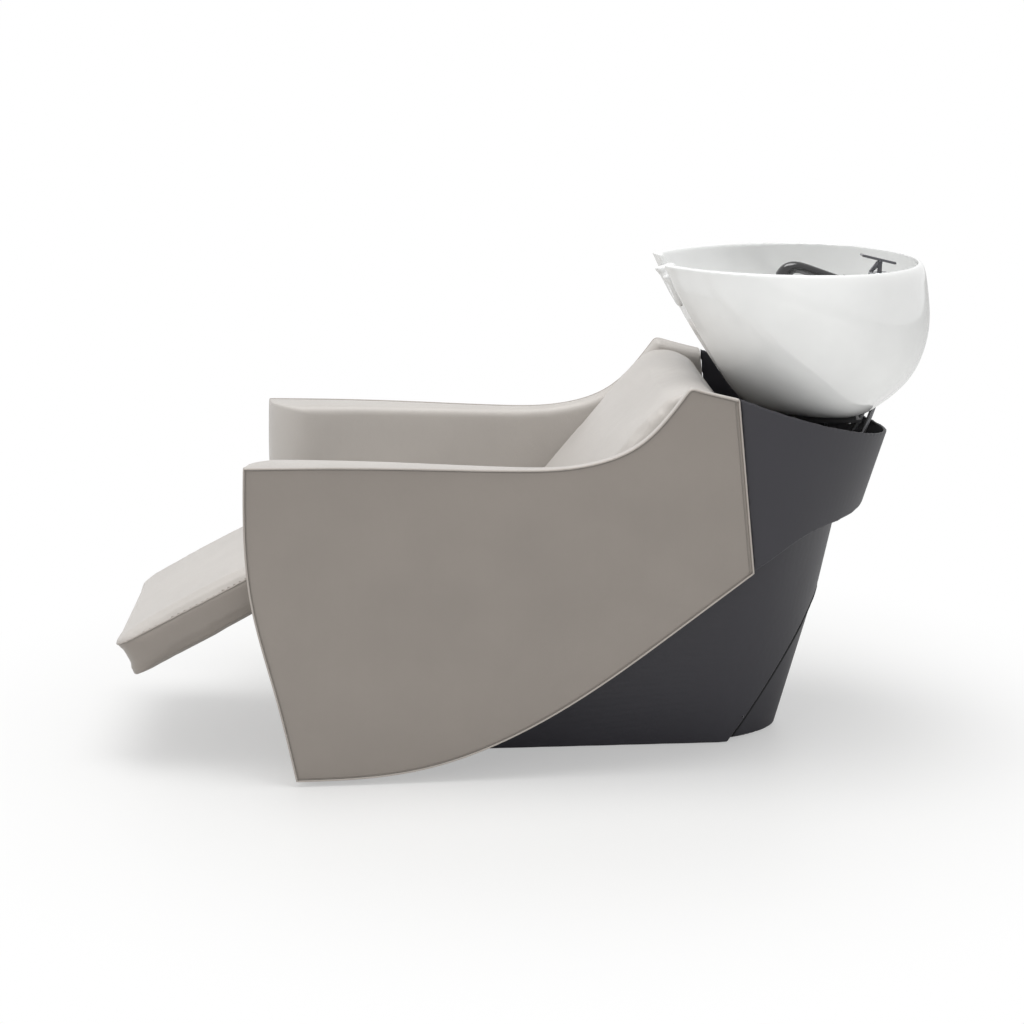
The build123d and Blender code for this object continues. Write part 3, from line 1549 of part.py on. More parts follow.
strainer_z = flange_top_z + contact_gap
with BuildPart() as strainer:
    with BuildSketch(Plane.XZ):
        with BuildLine():
            Polyline(
                (0, strainer_z - strainer_depth),
                (strainer_radius, strainer_z - strainer_depth),
                (strainer_radius, strainer_z),
                (strainer_cap_radius, strainer_z),
                (strainer_cap_radius, strainer_z + strainer_cap_thickness),
                (strainer_radius - strainer_wall, strainer_z + strainer_cap_thickness),
                (strainer_radius - strainer_wall, strainer_z - strainer_depth + strainer_wall),
                (0, strainer_z - strainer_depth + strainer_wall),
                close=True,
            )
        make_face()
    revolve(axis=Axis.Z)
    with BuildSketch(Plane.XY.offset(strainer_z - 2 * strainer_depth)):
        with PolarLocations(strainer_radius * strainer_hole_place_share, strainer_hole_count):
            Circle(strainer_hole_radius)
    extrude(amount=2 * strainer_depth, mode=Mode.SUBTRACT)
strainer_solid = strainer.part.moved(Location((drain_x, 0, 0)))
strainer_solid.label = "strainer"
export_step(strainer_solid, "parts/strainer.step")

# Mixer: body on the deck, turning cap, lever on a pin
deck_low_z = deck_z - deck_thickness
shank_low_z = deck_low_z - mixer_shank_drop
with BuildPart() as mixer_body:
    add(upright(mixer_x, mixer_y, mixer_flange_radius, deck_z, deck_z + mixer_flange_height))
    add(upright(mixer_x, mixer_y, mixer_body_radius, deck_z, mixer_body_top))
    add(upright(mixer_x, mixer_y, cap_journal_radius, mixer_body_top, mixer_body_top + cap_journal_height))
    add(upright(mixer_x, mixer_y, mixer_shank_radius, shank_low_z, deck_z))
    add(upright(mixer_x, mixer_y, mixer_nut_radius, deck_low_z - mixer_nut_height, deck_low_z))
    for side in (-1, 1):
        tail_y = mixer_y + side * mixer_tail_spread
        add(upright(mixer_x, tail_y, mixer_tail_radius, shank_low_z - mixer_tail_drop, shank_low_z))
mixer_body.part.label = "mixer_body"
export_step(mixer_body.part, "parts/mixer_body.step")

with BuildPart() as mixer_cap:
    add(upright(mixer_x, mixer_y, mixer_body_radius, mixer_body_top + cap_gap, cap_top_z))
    add(
        upright(
            mixer_x,
            mixer_y,
            cap_journal_radius + running_gap,
            mixer_body_top,
            mixer_body_top + cap_journal_height + cap_gap,
        ),
        mode=Mode.SUBTRACT,
    )
    with BuildSketch(Plane.XY.offset(cap_slot_floor_z)):
        with Locations((mixer_x, mixer_y)):
            Rectangle(cap_slot_length, cap_slot_width)
    extrude(amount=overrun, mode=Mode.SUBTRACT)
    add(
        crosswise(
            mixer_x, lever_pin_z, lever_pin_radius, mixer_y - cap_slot_width, mixer_y + cap_slot_width
        )
    )
mixer_cap.part.label = "mixer_cap"
export_step(mixer_cap.part, "parts/mixer_cap.step")

paddle_plane = Plane(
    origin=(mixer_x, mixer_y, paddle_z),
    x_dir=(math.cos(math.radians(paddle_slope)), 0, -math.sin(math.radians(paddle_slope))),
    z_dir=(0, -1, 0),
)
with BuildPart() as mixer_lever:
    eye_low, eye_high = mixer_y - lever_eye_width / 2, mixer_y + lever_eye_width / 2
    add(crosswise(mixer_x, lever_pin_z, lever_eye_radius, eye_low, eye_high))
    with BuildSketch(Plane.XY.offset(lever_pin_z)):
        with Locations((mixer_x, mixer_y)):
            Rectangle(lever_stem_length, lever_eye_width)
    extrude(amount=paddle_z - lever_pin_z)
    with BuildSketch(paddle_plane):
        with Locations((paddle_length * (0.5 - paddle_front_share), 0)):
            SlotOverall(paddle_length, paddle_thickness)
    extrude(amount=paddle_width / 2, both=True)
    add(
        crosswise(mixer_x, lever_pin_z, lever_pin_radius + running_gap, eye_low, eye_high),
        mode=Mode.SUBTRACT,
    )
mixer_lever.part.label = "mixer_lever"
export_step(mixer_lever.part, "parts/mixer_lever.step")

# Sprayer in its slanting ferrule
spray_turn = math.radians(ferrule_angle)
spray_direction = Vector(-math.cos(spray_turn), 0, math.sin(spray_turn))
sleeve_centre = Vector(ferrule_x, ferrule_y, ferrule_z)


def along_sprayer(distance):
    """A plane across the sprayer's axis, at a distance from the pillar."""
    return Plane(origin=sleeve_centre + spray_direction * distance, x_dir=(0, 1, 0), z_dir=spray_direction)


sleeve_back = ferrule_length * ferrule_back_share
sleeve_front = ferrule_length - sleeve_back
handle_start = sleeve_front - sprayer_seat
with BuildPart() as sprayer_ferrule:
    add(upright(ferrule_x, ferrule_y, ferrule_pillar_radius, deck_low_z - ferrule_tail, ferrule_z))
    add(upright(ferrule_x, ferrule_y, ferrule_nut_radius, deck_low_z - ferrule_nut_height, deck_low_z))
    add(upright(ferrule_x, ferrule_y, ferrule_nut_radius, deck_z, deck_z + ferrule_foot_height))
    with BuildSketch(along_sprayer(-sleeve_back)):
        Circle(ferrule_radius)
    extrude(amount=ferrule_length)
    with BuildSketch(along_sprayer(handle_start - ferrule_bore_lead)):
        Circle(ferrule_bore_radius)
    extrude(amount=ferrule_length, mode=Mode.SUBTRACT)
    with BuildSketch(along_sprayer(-ferrule_pillar_bore)):
        Circle(ferrule_pillar_bore)
    extrude(amount=ferrule_length, mode=Mode.SUBTRACT)
    add(
        upright(ferrule_x, ferrule_y, ferrule_pillar_bore, deck_low_z - ferrule_tail, ferrule_z),
        mode=Mode.SUBTRACT,
    )
sprayer_ferrule.part.label = "sprayer_ferrule"
export_step(sprayer_ferrule.part, "parts/sprayer_ferrule.step")

head_turn = math.radians(sprayer_head_angle)
handle_end = sleeve_centre + spray_direction * (handle_start + sprayer_length)
head_direction = Vector(-math.cos(head_turn), 0, -math.sin(head_turn))
head_plane = Plane(
    origin=handle_end - head_direction * sprayer_head_length * sprayer_head_back,
    x_dir=(0, 1, 0),
    z_dir=head_direction,
)
with BuildPart() as spray_face:
    with BuildSketch(head_plane.offset(sprayer_head_length - spray_face_thickness)):
        Circle(spray_face_radius)
    extrude(amount=spray_face_thickness)
spray_face.part.label = "spray_face"
export_step(spray_face.part, "parts/spray_face.step")

with BuildPart() as sprayer:
    with BuildSketch(along_sprayer(handle_start)):
        Circle(sprayer_radius)
    extrude(amount=sprayer_length)
    with BuildSketch(head_plane):
        Circle(sprayer_head_radius * sprayer_crown_share)
    with BuildSketch(head_plane.offset(sprayer_head_length * sprayer_shoulder_place_share)):
        Circle(sprayer_head_radius * sprayer_shoulder_share)
    with BuildSketch(head_plane.offset(sprayer_head_length)):
        Circle(sprayer_head_radius)
    loft(ruled=True)
    add(spray_face.part, mode=Mode.SUBTRACT)
sprayer.part.label = "sprayer"
export_step(sprayer.part, "parts/sprayer.step")

hose_low_z = shank_low_z + mixer_shank_drop / 3
towards_mixer = Vector(mixer_x - ferrule_x, mixer_y - ferrule_y, 0).normalized()
hose_end = Vector(mixer_x, mixer_y, hose_low_z) - towards_mixer * mixer_shank_radius
hose_start = sleeve_centre + spray_direction * handle_start
with BuildPart() as sprayer_hose:
    with BuildLine() as hose_path:
        FilletPolyline(
            hose_start,
            sleeve_centre,
            (ferrule_x, ferrule_y, hose_low_z),
            hose_end,
            radius=(sprayer_hose_bend, sprayer_hose_foot_bend),
        )
    with BuildSketch(Plane(origin=hose_start, z_dir=hose_path.line % 0)):
        Circle(sprayer_hose_radius)
    sweep(path=hose_path.line)
sprayer_hose.part.label = "sprayer_hose"
export_step(sprayer_hose.part, "parts/sprayer_hose.step")

# Drain: hose, trap and pipe to the floor
trap_top_z = trap_bottom_z + trap_height
trap_neck_top = trap_top_z + trap_neck_height
drain_points = (
    (drain_x, 0, waste_tail_z),
    (drain_x, 0, waste_tail_z - drain_run),
    (trap_x, 0, trap_neck_top + drain_foot_run),
    (trap_x, 0, trap_neck_top),
)
drain_hose = hose(drain_points, drain_hose_radius, drain_hose_radius - drain_hose_wall)
drain_hose.label = "drain_hose"
export_step(drain_hose, "parts/drain_hose.step")

with BuildPart() as bottle_trap:
    add(upright(trap_x, 0, trap_radius, trap_bottom_z, trap_top_z))
    add(upright(trap_x, 0, trap_neck_radius, trap_top_z, trap_neck_top))
    add(
        upright(trap_x, 0, trap_radius - trap_wall, trap_bottom_z + trap_wall, trap_top_z - trap_wall),
        mode=Mode.SUBTRACT,
    )
    add(
        upright(trap_x, 0, trap_neck_radius - trap_wall, trap_bottom_z + trap_wall, trap_neck_top),
        mode=Mode.SUBTRACT,
    )
    with BuildSketch(Plane.YZ.offset(trap_x - trap_radius - overrun)):
        with Locations((0, waste_pipe_z)):
            Circle(waste_pipe_radius - waste_pipe_wall)
    extrude(amount=trap_radius + overrun, mode=Mode.SUBTRACT)
    with BuildSketch(Plane.YZ.offset(trap_x - trap_radius - trap_wall)):
        with Locations((0, waste_pipe_z)):
            Circle(waste_pipe_radius)
            Circle(waste_pipe_radius - waste_pipe_wall, mode=Mode.SUBTRACT)
    extrude(amount=trap_radius / 2)
    add(
        upright(trap_x, 0, trap_radius - trap_wall, trap_bottom_z + trap_wall, trap_top_z - trap_wall),
        mode=Mode.SUBTRACT,
    )
bottle_trap.part.label = "bottle_trap"
export_step(bottle_trap.part, "parts/bottle_trap.step")

pipe_start_x = trap_x - trap_radius - trap_wall
with BuildPart() as waste_pipe:
    with BuildLine() as pipe_path:
        FilletPolyline(
            (pipe_start_x, 0, waste_pipe_z),
            (waste_pipe_x, 0, waste_pipe_z),
            (waste_pipe_x, 0, waste_pipe_bottom_z),
            radius=waste_bend_radius,
        )
    with BuildSketch(Plane(origin=(pipe_start_x, 0, waste_pipe_z), z_dir=(-1, 0, 0))):
        Circle(waste_pipe_radius)
        Circle(waste_pipe_radius - waste_pipe_wall, mode=Mode.SUBTRACT)
    sweep(path=pipe_path.line)
    ring_top = waste_ring_z + waste_ring_height
    pipe_bore = waste_pipe_radius - waste_pipe_wall
    add(upright(waste_pipe_x, 0, waste_ring_radius, waste_ring_z, ring_top, pipe_bore))
waste_pipe.part.label = "waste_pipe"
export_step(waste_pipe.part, "parts/waste_pipe.step")

# Stop valves on a bracket behind the rear post, each with its lever and hose
valve_plate_x = rear_post_x + rear_post_length / 2
cap_inner = valve_body_radius + valve_stem_length
valve_parts = []
hose_low = valve_body_top + valve_outlet_length
mixer_tail_z = shank_low_z - mixer_tail_drop
valve_inlet_z = valve_body_bottom - valve_inlet_length
supply_port_z = bowl_bottom_z + 2 * bowl_floor
supply_trunk_z = shell_top_z + shell_crest_rise + supply_over_shell
for side, name in ((-1, "hot"), (1, "cold")):
    y = side * valve_y
    stem_end = valve_y + cap_inner + valve_hub_length + contact_gap
    ends = sorted((y, side * stem_end))
    cap_ends = sorted((side * stem_end, side * (stem_end + valve_cap_thickness)))
    with BuildPart() as valve:
        add(upright(valve_x, y, valve_body_radius, valve_body_bottom, valve_body_top))
        add(upright(valve_x, y, valve_inlet_radius, valve_inlet_z, valve_body_bottom))
        add(upright(valve_x, y, valve_outlet_radius, valve_body_top, hose_low))
        add(crosswise(valve_x, valve_stem_z, valve_stem_radius, *ends))
        add(crosswise(valve_x, valve_stem_z, valve_hub_radius, *cap_ends))
    valve.part.label = f"{name}_stop_valve"
    export_step(valve.part, f"parts/{name}_stop_valve.step")
    valve_parts.append(valve.part)

    hub_ends = sorted((side * (valve_y + cap_inner), side * (valve_y + cap_inner + valve_hub_length)))
    with BuildPart() as handle:
        add(crosswise(valve_x, valve_stem_z, valve_hub_radius, *hub_ends))
        with BuildSketch(Plane.XZ.offset(-hub_ends[1])):
            with Locations((valve_x, valve_stem_z + valve_lever_length / 2)):
                Rectangle(valve_lever_width, valve_lever_length)
        extrude(amount=valve_hub_length)
        add(
            crosswise(valve_x, valve_stem_z, valve_stem_radius + running_gap, *hub_ends), mode=Mode.SUBTRACT
        )
    handle.part.label = f"{name}_valve_lever"
    export_step(handle.part, f"parts/{name}_valve_lever.step")

    supply_points = (
        (mixer_x, mixer_y + side * mixer_tail_spread, mixer_tail_z),
        (mixer_x, mixer_y + side * mixer_tail_spread, mixer_tail_z - supply_drop),
        (hose_port_x, side * supply_port_y, supply_port_z),
        (hose_port_x - supply_lead, side * supply_port_y, supply_port_z - supply_port_low),
        (drain_x, side * supply_trunk_y, supply_trunk_z),
        (valve_x + supply_trunk_y, side * valve_y, waste_pipe_z + supply_trunk_y),
        (valve_x, y, hose_low + supply_trunk_y),
        (valve_x, y, hose_low),
    )
    supply = hose(supply_points, supply_hose_radius, 0)
    supply.label = f"{name}_hose"
    export_step(supply, f"parts/{name}_hose.step")

clear_x = valve_x + 2 * valve_body_radius
with BuildPart() as valve_bracket:
    with BuildSketch(Plane.YZ.offset(valve_plate_x)):
        with Locations((0, valve_plate_bottom + valve_plate_height / 2)):
            Rectangle(2 * valve_plate_half_width, valve_plate_height)
    extrude(amount=valve_plate_thickness)
    with BuildSketch(Plane.YZ.offset(valve_plate_x)):
        with Locations((valve_y, valve_stem_z), (-valve_y, valve_stem_z), (0, valve_stem_z)):
            Rectangle(2 * saddle_half_width, 2 * saddle_half_width)
    extrude(amount=waste_pipe_x - waste_pipe_radius * saddle_share - valve_plate_x)
    add(upright(waste_pipe_x, 0, waste_pipe_radius, waste_pipe_bottom_z, waste_pipe_z), mode=Mode.SUBTRACT)
    for solid in valve_parts:
        add(solid, mode=Mode.SUBTRACT)
    with BuildSketch(Plane.XY.offset(valve_plate_bottom)):
        with Locations((clear_x, valve_y), (clear_x, -valve_y)):
            Rectangle(valve_body_radius * 4, 4 * saddle_half_width)
    extrude(amount=valve_plate_height, mode=Mode.SUBTRACT)
valve_bracket.part.label = "valve_bracket"
export_step(valve_bracket.part, "parts/valve_bracket.step")
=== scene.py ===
import json
import math

import bmesh
import bpy
import numpy as np
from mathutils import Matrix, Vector, geometry
from mathutils.bvhtree import BVHTree


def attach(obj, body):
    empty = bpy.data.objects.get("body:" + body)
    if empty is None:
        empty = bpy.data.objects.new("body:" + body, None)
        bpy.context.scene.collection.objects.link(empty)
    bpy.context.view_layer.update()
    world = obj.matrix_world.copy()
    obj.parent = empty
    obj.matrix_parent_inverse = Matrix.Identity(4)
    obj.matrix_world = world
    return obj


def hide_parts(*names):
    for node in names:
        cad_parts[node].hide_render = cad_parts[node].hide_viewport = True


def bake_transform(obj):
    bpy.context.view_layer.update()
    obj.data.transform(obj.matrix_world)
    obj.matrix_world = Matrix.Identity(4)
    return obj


# Sizes of the padded pieces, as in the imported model
CLOTH_PRESSURE = 2.0
CLOTH_STEPS = 16
BACK_SLOPE = 50.4
BACK_FOOT = (-0.0787, 0.430)
BACK_FACE, BACK_DROP, BACK_THICK = 0.350, 0.066, 0.095
SEAT_FRONT, SEAT_TOP = -0.500, 0.424
FOOT_SLOPE = 27.7
FOOT_PIVOT = (-0.548, 0.383)
FOOT_REACH, FOOT_HALF, FOOT_CORNER, FOOT_SEAM = 0.368, 0.225, 0.030, 0.0285
FOOT_LOW_EDGE, FOOT_DRAWN_FROM, FOOT_DEEPER = 0.008, 0.20, 0.08
CUSHION_ROUNDS, CUSHION_LAST_ROUNDS, CLOTH_QUALITY = 4, 3, 5

# Voxel sizes and smoothing rounds of the rounded copies of CAD solids
SHELL_VOXEL, BOWL_ROUNDS = 0.003, 22
GEL_VOXEL, GEL_ROUNDS, GEL_LAST_ROUNDS = 0.0022, 14, 8
METAL_VOXEL, METAL_ROUNDS = 0.0011, 5

# Welts and seams: radii, and places on the faces that carry them
WELT_RADIUS, WELT_INSET, WELT_SUNK = 0.0018, 0.0006, 0.0004
SEAM_RADIUS, SEAM_INSET, SEAM_INSET_REAR, SEAM_SUNK = 0.0008, 0.0036, 0.0074, 0.0010
REAR_BLEND = 0.012
BACK_WELT_RADIUS, BACK_WELT_GAP = 0.0024, 0.006
SEAT_WELT_RADIUS, SEAT_WELT_HALF = 0.0022, 0.235
FOOT_WELT_RADIUS, FOOT_SEAM_BELOW, SEAM_EDGE = 0.0014, 0.0026, 0.001
WELT_LIFT, WELT_POINTS, CORNER_STEPS, SIDE_POINTS = 0.0004, 60, 12, 40

# Levels at which the footrest's free end is measured, and half the depth of each, in steps
END_LEVELS, LEVEL_DEPTH = 30, 1.2

# Leatherette, and the smoothing and the curves of all pieces
PORE_SCALE, PORE_DEPTH, LEATHER_ROUGH, LEATHER_SPECULAR = 900.0, 0.25, 0.42, 0.85
SHEEN, SHEEN_ROUGH = 0.25, 0.45
SMOOTH_SHARE, CURVE_STEPS, CURVE_SIDES = 0.5, 6, 2

# The neck rest's gel: swollen by this much, and drawn down above the bend
GEL_SWELL, GEL_BEND_Z, GEL_TOP_SHARE = 0.0058, 0.895, 0.58

# The collar's rolled lip: its place on the wall, and the upright line that it is seen from
LIP_IN, LIP_DOWN, LIP_RADIUS = 0.0016, 0.0024, 0.0026
LIP_CENTRE_X, LIP_LOW_Z, LIP_HIGH_Z = 0.36, 0.50, 0.73
LIP_HALF_TURN, LIP_TURN_STEP, LIP_LONGEST = 96, 3, 0.9

# Halvings in the search for a wall's top edge, and where the rays start and how far they go
SEARCH_STEPS = 14
SIDE_RAY_Y, SIDE_RAY_REACH, REAR_RAY_X, REAR_RAY_REACH = 0.5, 1.0, 0.9, 0.7

# The painted shade in the joint between the shells and the service panel, drawn as a near-black tube: the
# shell's rear edge (x, z), and the joint's distance beside it, depth and radius
EDGE_FOOT, EDGE_TOP = (0.285, 0.0), (0.476, 0.300)
JOINT_BESIDE, JOINT_BESIDE_TOP, JOINT_SUNK, JOINT_RADIUS = 0.0085, 0.0030, 0.0012, 0.0042
JOINT_FOOT_Z, JOINT_SIDE_TOP_Z, JOINT_ARC_HALF, JOINT_ARC_DROP = 0.006, 0.228, 0.074, 0.03
JOINT_SIDE_POINTS, JOINT_ARC_POINTS = 34, 31

# A screw in each shell: its place (x, z), and its head as steps out with their radii
SCREW_AT = (0.3145, 0.057)
SCREW_HEAD = ((-0.0010, 0.0034), (0.0008, 0.0036), (0.0016, 0.0030), (0.0018, 0.0016), (0.0012, 0.0012))
SCREW_SIDES = 20

# The fin on the mixer's lever: its two sides in y, and its outline (x, z)
FIN_SIDES = (-0.0665, -0.0575)
FIN_OUTLINE = ((0.5715, 0.9335), (0.5600, 0.9365), (0.5455, 0.9165), (0.5530, 0.9165))
FIN_ROUND = 0.0012

# The sprayer, in its own upright plane: centres (x, z) with their radii
SPRAY_Y = 0.080
HANDLE = (
    (0.5384, 0.8745, 0.0098), (0.505, 0.8856, 0.0102),
    (0.4716, 0.8968, 0.0106), (0.447, 0.9052, 0.0113),
)
HANDLE_END = (0.4264, 0.9118)
NECK = ((0.430, 0.9092, 0.0124, (-1, 0, -0.05)), (0.4175, 0.9068, 0.0138, (-0.85, 0, -0.5)))
FACE_WAY = (-0.616, 0, -0.788)
HEAD = ((0.4098, 0.8985, 0.0158), (0.4050, 0.8850, 0.0182), (0.4046, 0.8842, 0.0176))

# Hoses: radii, and the distances of the supply hoses from the middle on their way down
SUPPLY_RADIUS, DRAIN_RADIUS = 0.0052, 0.020
MIXER_Y, TAIL_GAP = -0.062, 0.0075
UPPER_Y, BEND_Y, MIDDLE_Y, LOWER_Y = 0.030, 0.034, 0.062, 0.075

# Camera, floor and light
LENS, SENSOR = 75.73, 36.0
CAMERA_AT, CAMERA_YAW, CAMERA_PITCH = (-0.300, -4.1233, 1.4211), 2.3454, 13.3964
FLOOR_CORNERS = ((-9, -9, 0), (9, -9, 0), (9, 14, 0), (-9, 14, 0))
FLOOR_TONE, FLOOR_ROUGH = (0.80, 0.80, 0.79, 1), 0.5
FLOOR_CENTRE, FADE_FROM, FADE_TO, FADE_LEAST = (-0.1, 0.0, 0.0), 0.65, 1.35, 0.40
WHITE = (1, 1, 1, 1)
WORLD_LIGHT, WORLD_SEEN = 0.58, 1.0

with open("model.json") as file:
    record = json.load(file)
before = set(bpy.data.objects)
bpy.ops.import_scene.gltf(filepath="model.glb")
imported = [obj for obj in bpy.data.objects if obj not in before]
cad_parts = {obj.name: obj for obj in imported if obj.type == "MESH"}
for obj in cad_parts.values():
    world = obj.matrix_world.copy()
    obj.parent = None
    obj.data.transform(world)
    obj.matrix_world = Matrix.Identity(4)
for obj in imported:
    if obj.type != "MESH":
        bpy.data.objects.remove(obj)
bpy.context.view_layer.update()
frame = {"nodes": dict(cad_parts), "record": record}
nodes = frame["nodes"]
scene = bpy.context.scene


# materials
def node_tree(name):
    material = bpy.data.materials.new(name)
    material.use_nodes = True
    tree = material.node_tree
    return material, tree, tree.nodes["Principled BSDF"]


def add_node(tree, kind, **values):
    made = tree.nodes.new(kind)
    for key, value in values.items():
        if key in made.inputs:
            made.inputs[key].default_value = value
        else:
            setattr(made, key, value)
    return made


def tone(rgb, share):
    return tuple(min(1.0, c * share) for c in rgb) + (1.0,)


def leatherette(name, rgb, wrinkle=0.12):
    """Fine pebbled grain over soft, slow unevenness in colour and height."""
    material, tree, shader = node_tree(name)
    links = tree.links
    place = add_node(tree, "ShaderNodeTexCoord")
    cloud = add_node(tree, "ShaderNodeTexNoise", Scale=7.0, Detail=3.0, Roughness=0.5)
    links.new(place.outputs["Object"], cloud.inputs["Vector"])
    ramp = add_node(tree, "ShaderNodeValToRGB")
    ramp.color_ramp.elements[0].position = 0.25
    ramp.color_ramp.elements[0].color = tone(rgb, 0.95)
    ramp.color_ramp.elements[1].position = 0.75
    ramp.color_ramp.elements[1].color = tone(rgb, 1.05)
    links.new(cloud.outputs["Fac"], ramp.inputs["Fac"])
    pores = add_node(tree, "ShaderNodeTexVoronoi", Scale=PORE_SCALE)
    pores.feature = "DISTANCE_TO_EDGE"
    links.new(place.outputs["Object"], pores.inputs["Vector"])
    crease = add_node(tree, "ShaderNodeMapRange")
    crease.inputs["From Max"].default_value = 0.12
    links.new(pores.outputs["Distance"], crease.inputs["Value"])
    darken = add_node(tree, "ShaderNodeMix", data_type="RGBA", blend_type="MULTIPLY")
    darken.inputs["Factor"].default_value = 0.10
    links.new(ramp.outputs["Color"], darken.inputs["A"])
    links.new(crease.outputs["Result"], darken.inputs["B"])
    links.new(darken.outputs["Result"], shader.inputs["Base Color"])
    slow = add_node(tree, "ShaderNodeTexNoise", Scale=16.0, Detail=4.0, Roughness=0.55)
    links.new(place.outputs["Object"], slow.inputs["Vector"])
    soft = add_node(tree, "ShaderNodeBump", Strength=wrinkle, Distance=0.01)
    links.new(slow.outputs["Fac"], soft.inputs["Height"])
    fine = add_node(tree, "ShaderNodeBump", Strength=PORE_DEPTH, Distance=0.0006)
    links.new(crease.outputs["Result"], fine.inputs["Height"])
    links.new(soft.outputs["Normal"], fine.inputs["Normal"])
    links.new(fine.outputs["Normal"], shader.inputs["Normal"])
    gloss = add_node(tree, "ShaderNodeMapRange")
    gloss.inputs["To Min"].default_value = LEATHER_ROUGH - 0.05
    gloss.inputs["To Max"].default_value = LEATHER_ROUGH + 0.06
    links.new(slow.outputs["Fac"], gloss.inputs["Value"])
    links.new(gloss.outputs["Result"], shader.inputs["Roughness"])
    shader.inputs["Sheen Weight"].default_value = SHEEN
    shader.inputs["Sheen Roughness"].default_value = SHEEN_ROUGH
    shader.inputs["Specular IOR Level"].default_value = LEATHER_SPECULAR
    return material


def moulded(name, rgb, rough, grain=1400.0, depth=0.10, coat=0.0):
    """Moulded plastic or paint: a fine spark-eroded grain and slow unevenness."""
    material, tree, shader = node_tree(name)
    links = tree.links
    place = add_node(tree, "ShaderNodeTexCoord")
    cloud = add_node(tree, "ShaderNodeTexNoise", Scale=5.0, Detail=4.0)
    links.new(place.outputs["Object"], cloud.inputs["Vector"])
    ramp = add_node(tree, "ShaderNodeValToRGB")
    ramp.color_ramp.elements[0].position = 0.3
    ramp.color_ramp.elements[0].color = tone(rgb, 0.94)
    ramp.color_ramp.elements[1].position = 0.7
    ramp.color_ramp.elements[1].color = tone(rgb, 1.06)
    links.new(cloud.outputs["Fac"], ramp.inputs["Fac"])
    links.new(ramp.outputs["Color"], shader.inputs["Base Color"])
    speck = add_node(tree, "ShaderNodeTexNoise", Scale=grain, Detail=2.0)
    links.new(place.outputs["Object"], speck.inputs["Vector"])
    bump = add_node(tree, "ShaderNodeBump", Strength=depth, Distance=0.0004)
    links.new(speck.outputs["Fac"], bump.inputs["Height"])
    links.new(bump.outputs["Normal"], shader.inputs["Normal"])
    spread = add_node(tree, "ShaderNodeMapRange")
    spread.inputs["To Min"].default_value = max(0.02, rough - 0.05)
    spread.inputs["To Max"].default_value = rough + 0.05
    links.new(cloud.outputs["Fac"], spread.inputs["Value"])
    links.new(spread.outputs["Result"], shader.inputs["Roughness"])
    if coat:
        shader.inputs["Coat Weight"].default_value = coat
        shader.inputs["Coat Roughness"].default_value = 0.04
    return material


def metal(name, rgb, rough, brushed=0.0):
    material, tree, shader = node_tree(name)
    links = tree.links
    place = add_node(tree, "ShaderNodeTexCoord")
    stretch = add_node(tree, "ShaderNodeMapping")
    stretch.inputs["Scale"].default_value = (60.0, 60.0, 900.0) if brushed else (40.0, 40.0, 40.0)
    links.new(place.outputs["Object"], stretch.inputs["Vector"])
    lines = add_node(tree, "ShaderNodeTexNoise", Scale=1.0, Detail=3.0)
    links.new(stretch.outputs["Vector"], lines.inputs["Vector"])
    spread = add_node(tree, "ShaderNodeMapRange")
    spread.inputs["To Min"].default_value = max(0.02, rough - 0.03)
    spread.inputs["To Max"].default_value = rough + 0.05
    links.new(lines.outputs["Fac"], spread.inputs["Value"])
    links.new(spread.outputs["Result"], shader.inputs["Roughness"])
    bump = add_node(tree, "ShaderNodeBump", Strength=0.05 + brushed, Distance=0.0002)
    links.new(lines.outputs["Fac"], bump.inputs["Height"])
    links.new(bump.outputs["Normal"], shader.inputs["Normal"])
    shader.inputs["Base Color"].default_value = rgb + (1.0,)
    shader.inputs["Metallic"].default_value = 1.0
    return material


def plywood(name):
    material, tree, shader = node_tree(name)
    links = tree.links
    place = add_node(tree, "ShaderNodeTexCoord")
    stretch = add_node(tree, "ShaderNodeMapping")
    stretch.inputs["Scale"].default_value = (4.0, 60.0, 60.0)
    links.new(place.outputs["Object"], stretch.inputs["Vector"])
    grain = add_node(tree, "ShaderNodeTexNoise", Scale=1.0, Detail=6.0)
    links.new(stretch.outputs["Vector"], grain.inputs["Vector"])
    ramp = add_node(tree, "ShaderNodeValToRGB")
    ramp.color_ramp.elements[0].color = (0.36, 0.23, 0.12, 1)
    ramp.color_ramp.elements[1].color = (0.60, 0.44, 0.27, 1)
    links.new(grain.outputs["Fac"], ramp.inputs["Fac"])
    links.new(ramp.outputs["Color"], shader.inputs["Base Color"])
    bump = add_node(tree, "ShaderNodeBump", Strength=0.2, Distance=0.0006)
    links.new(grain.outputs["Fac"], bump.inputs["Height"])
    links.new(bump.outputs["Normal"], shader.inputs["Normal"])
    shader.inputs["Roughness"].default_value = 0.7
    return material


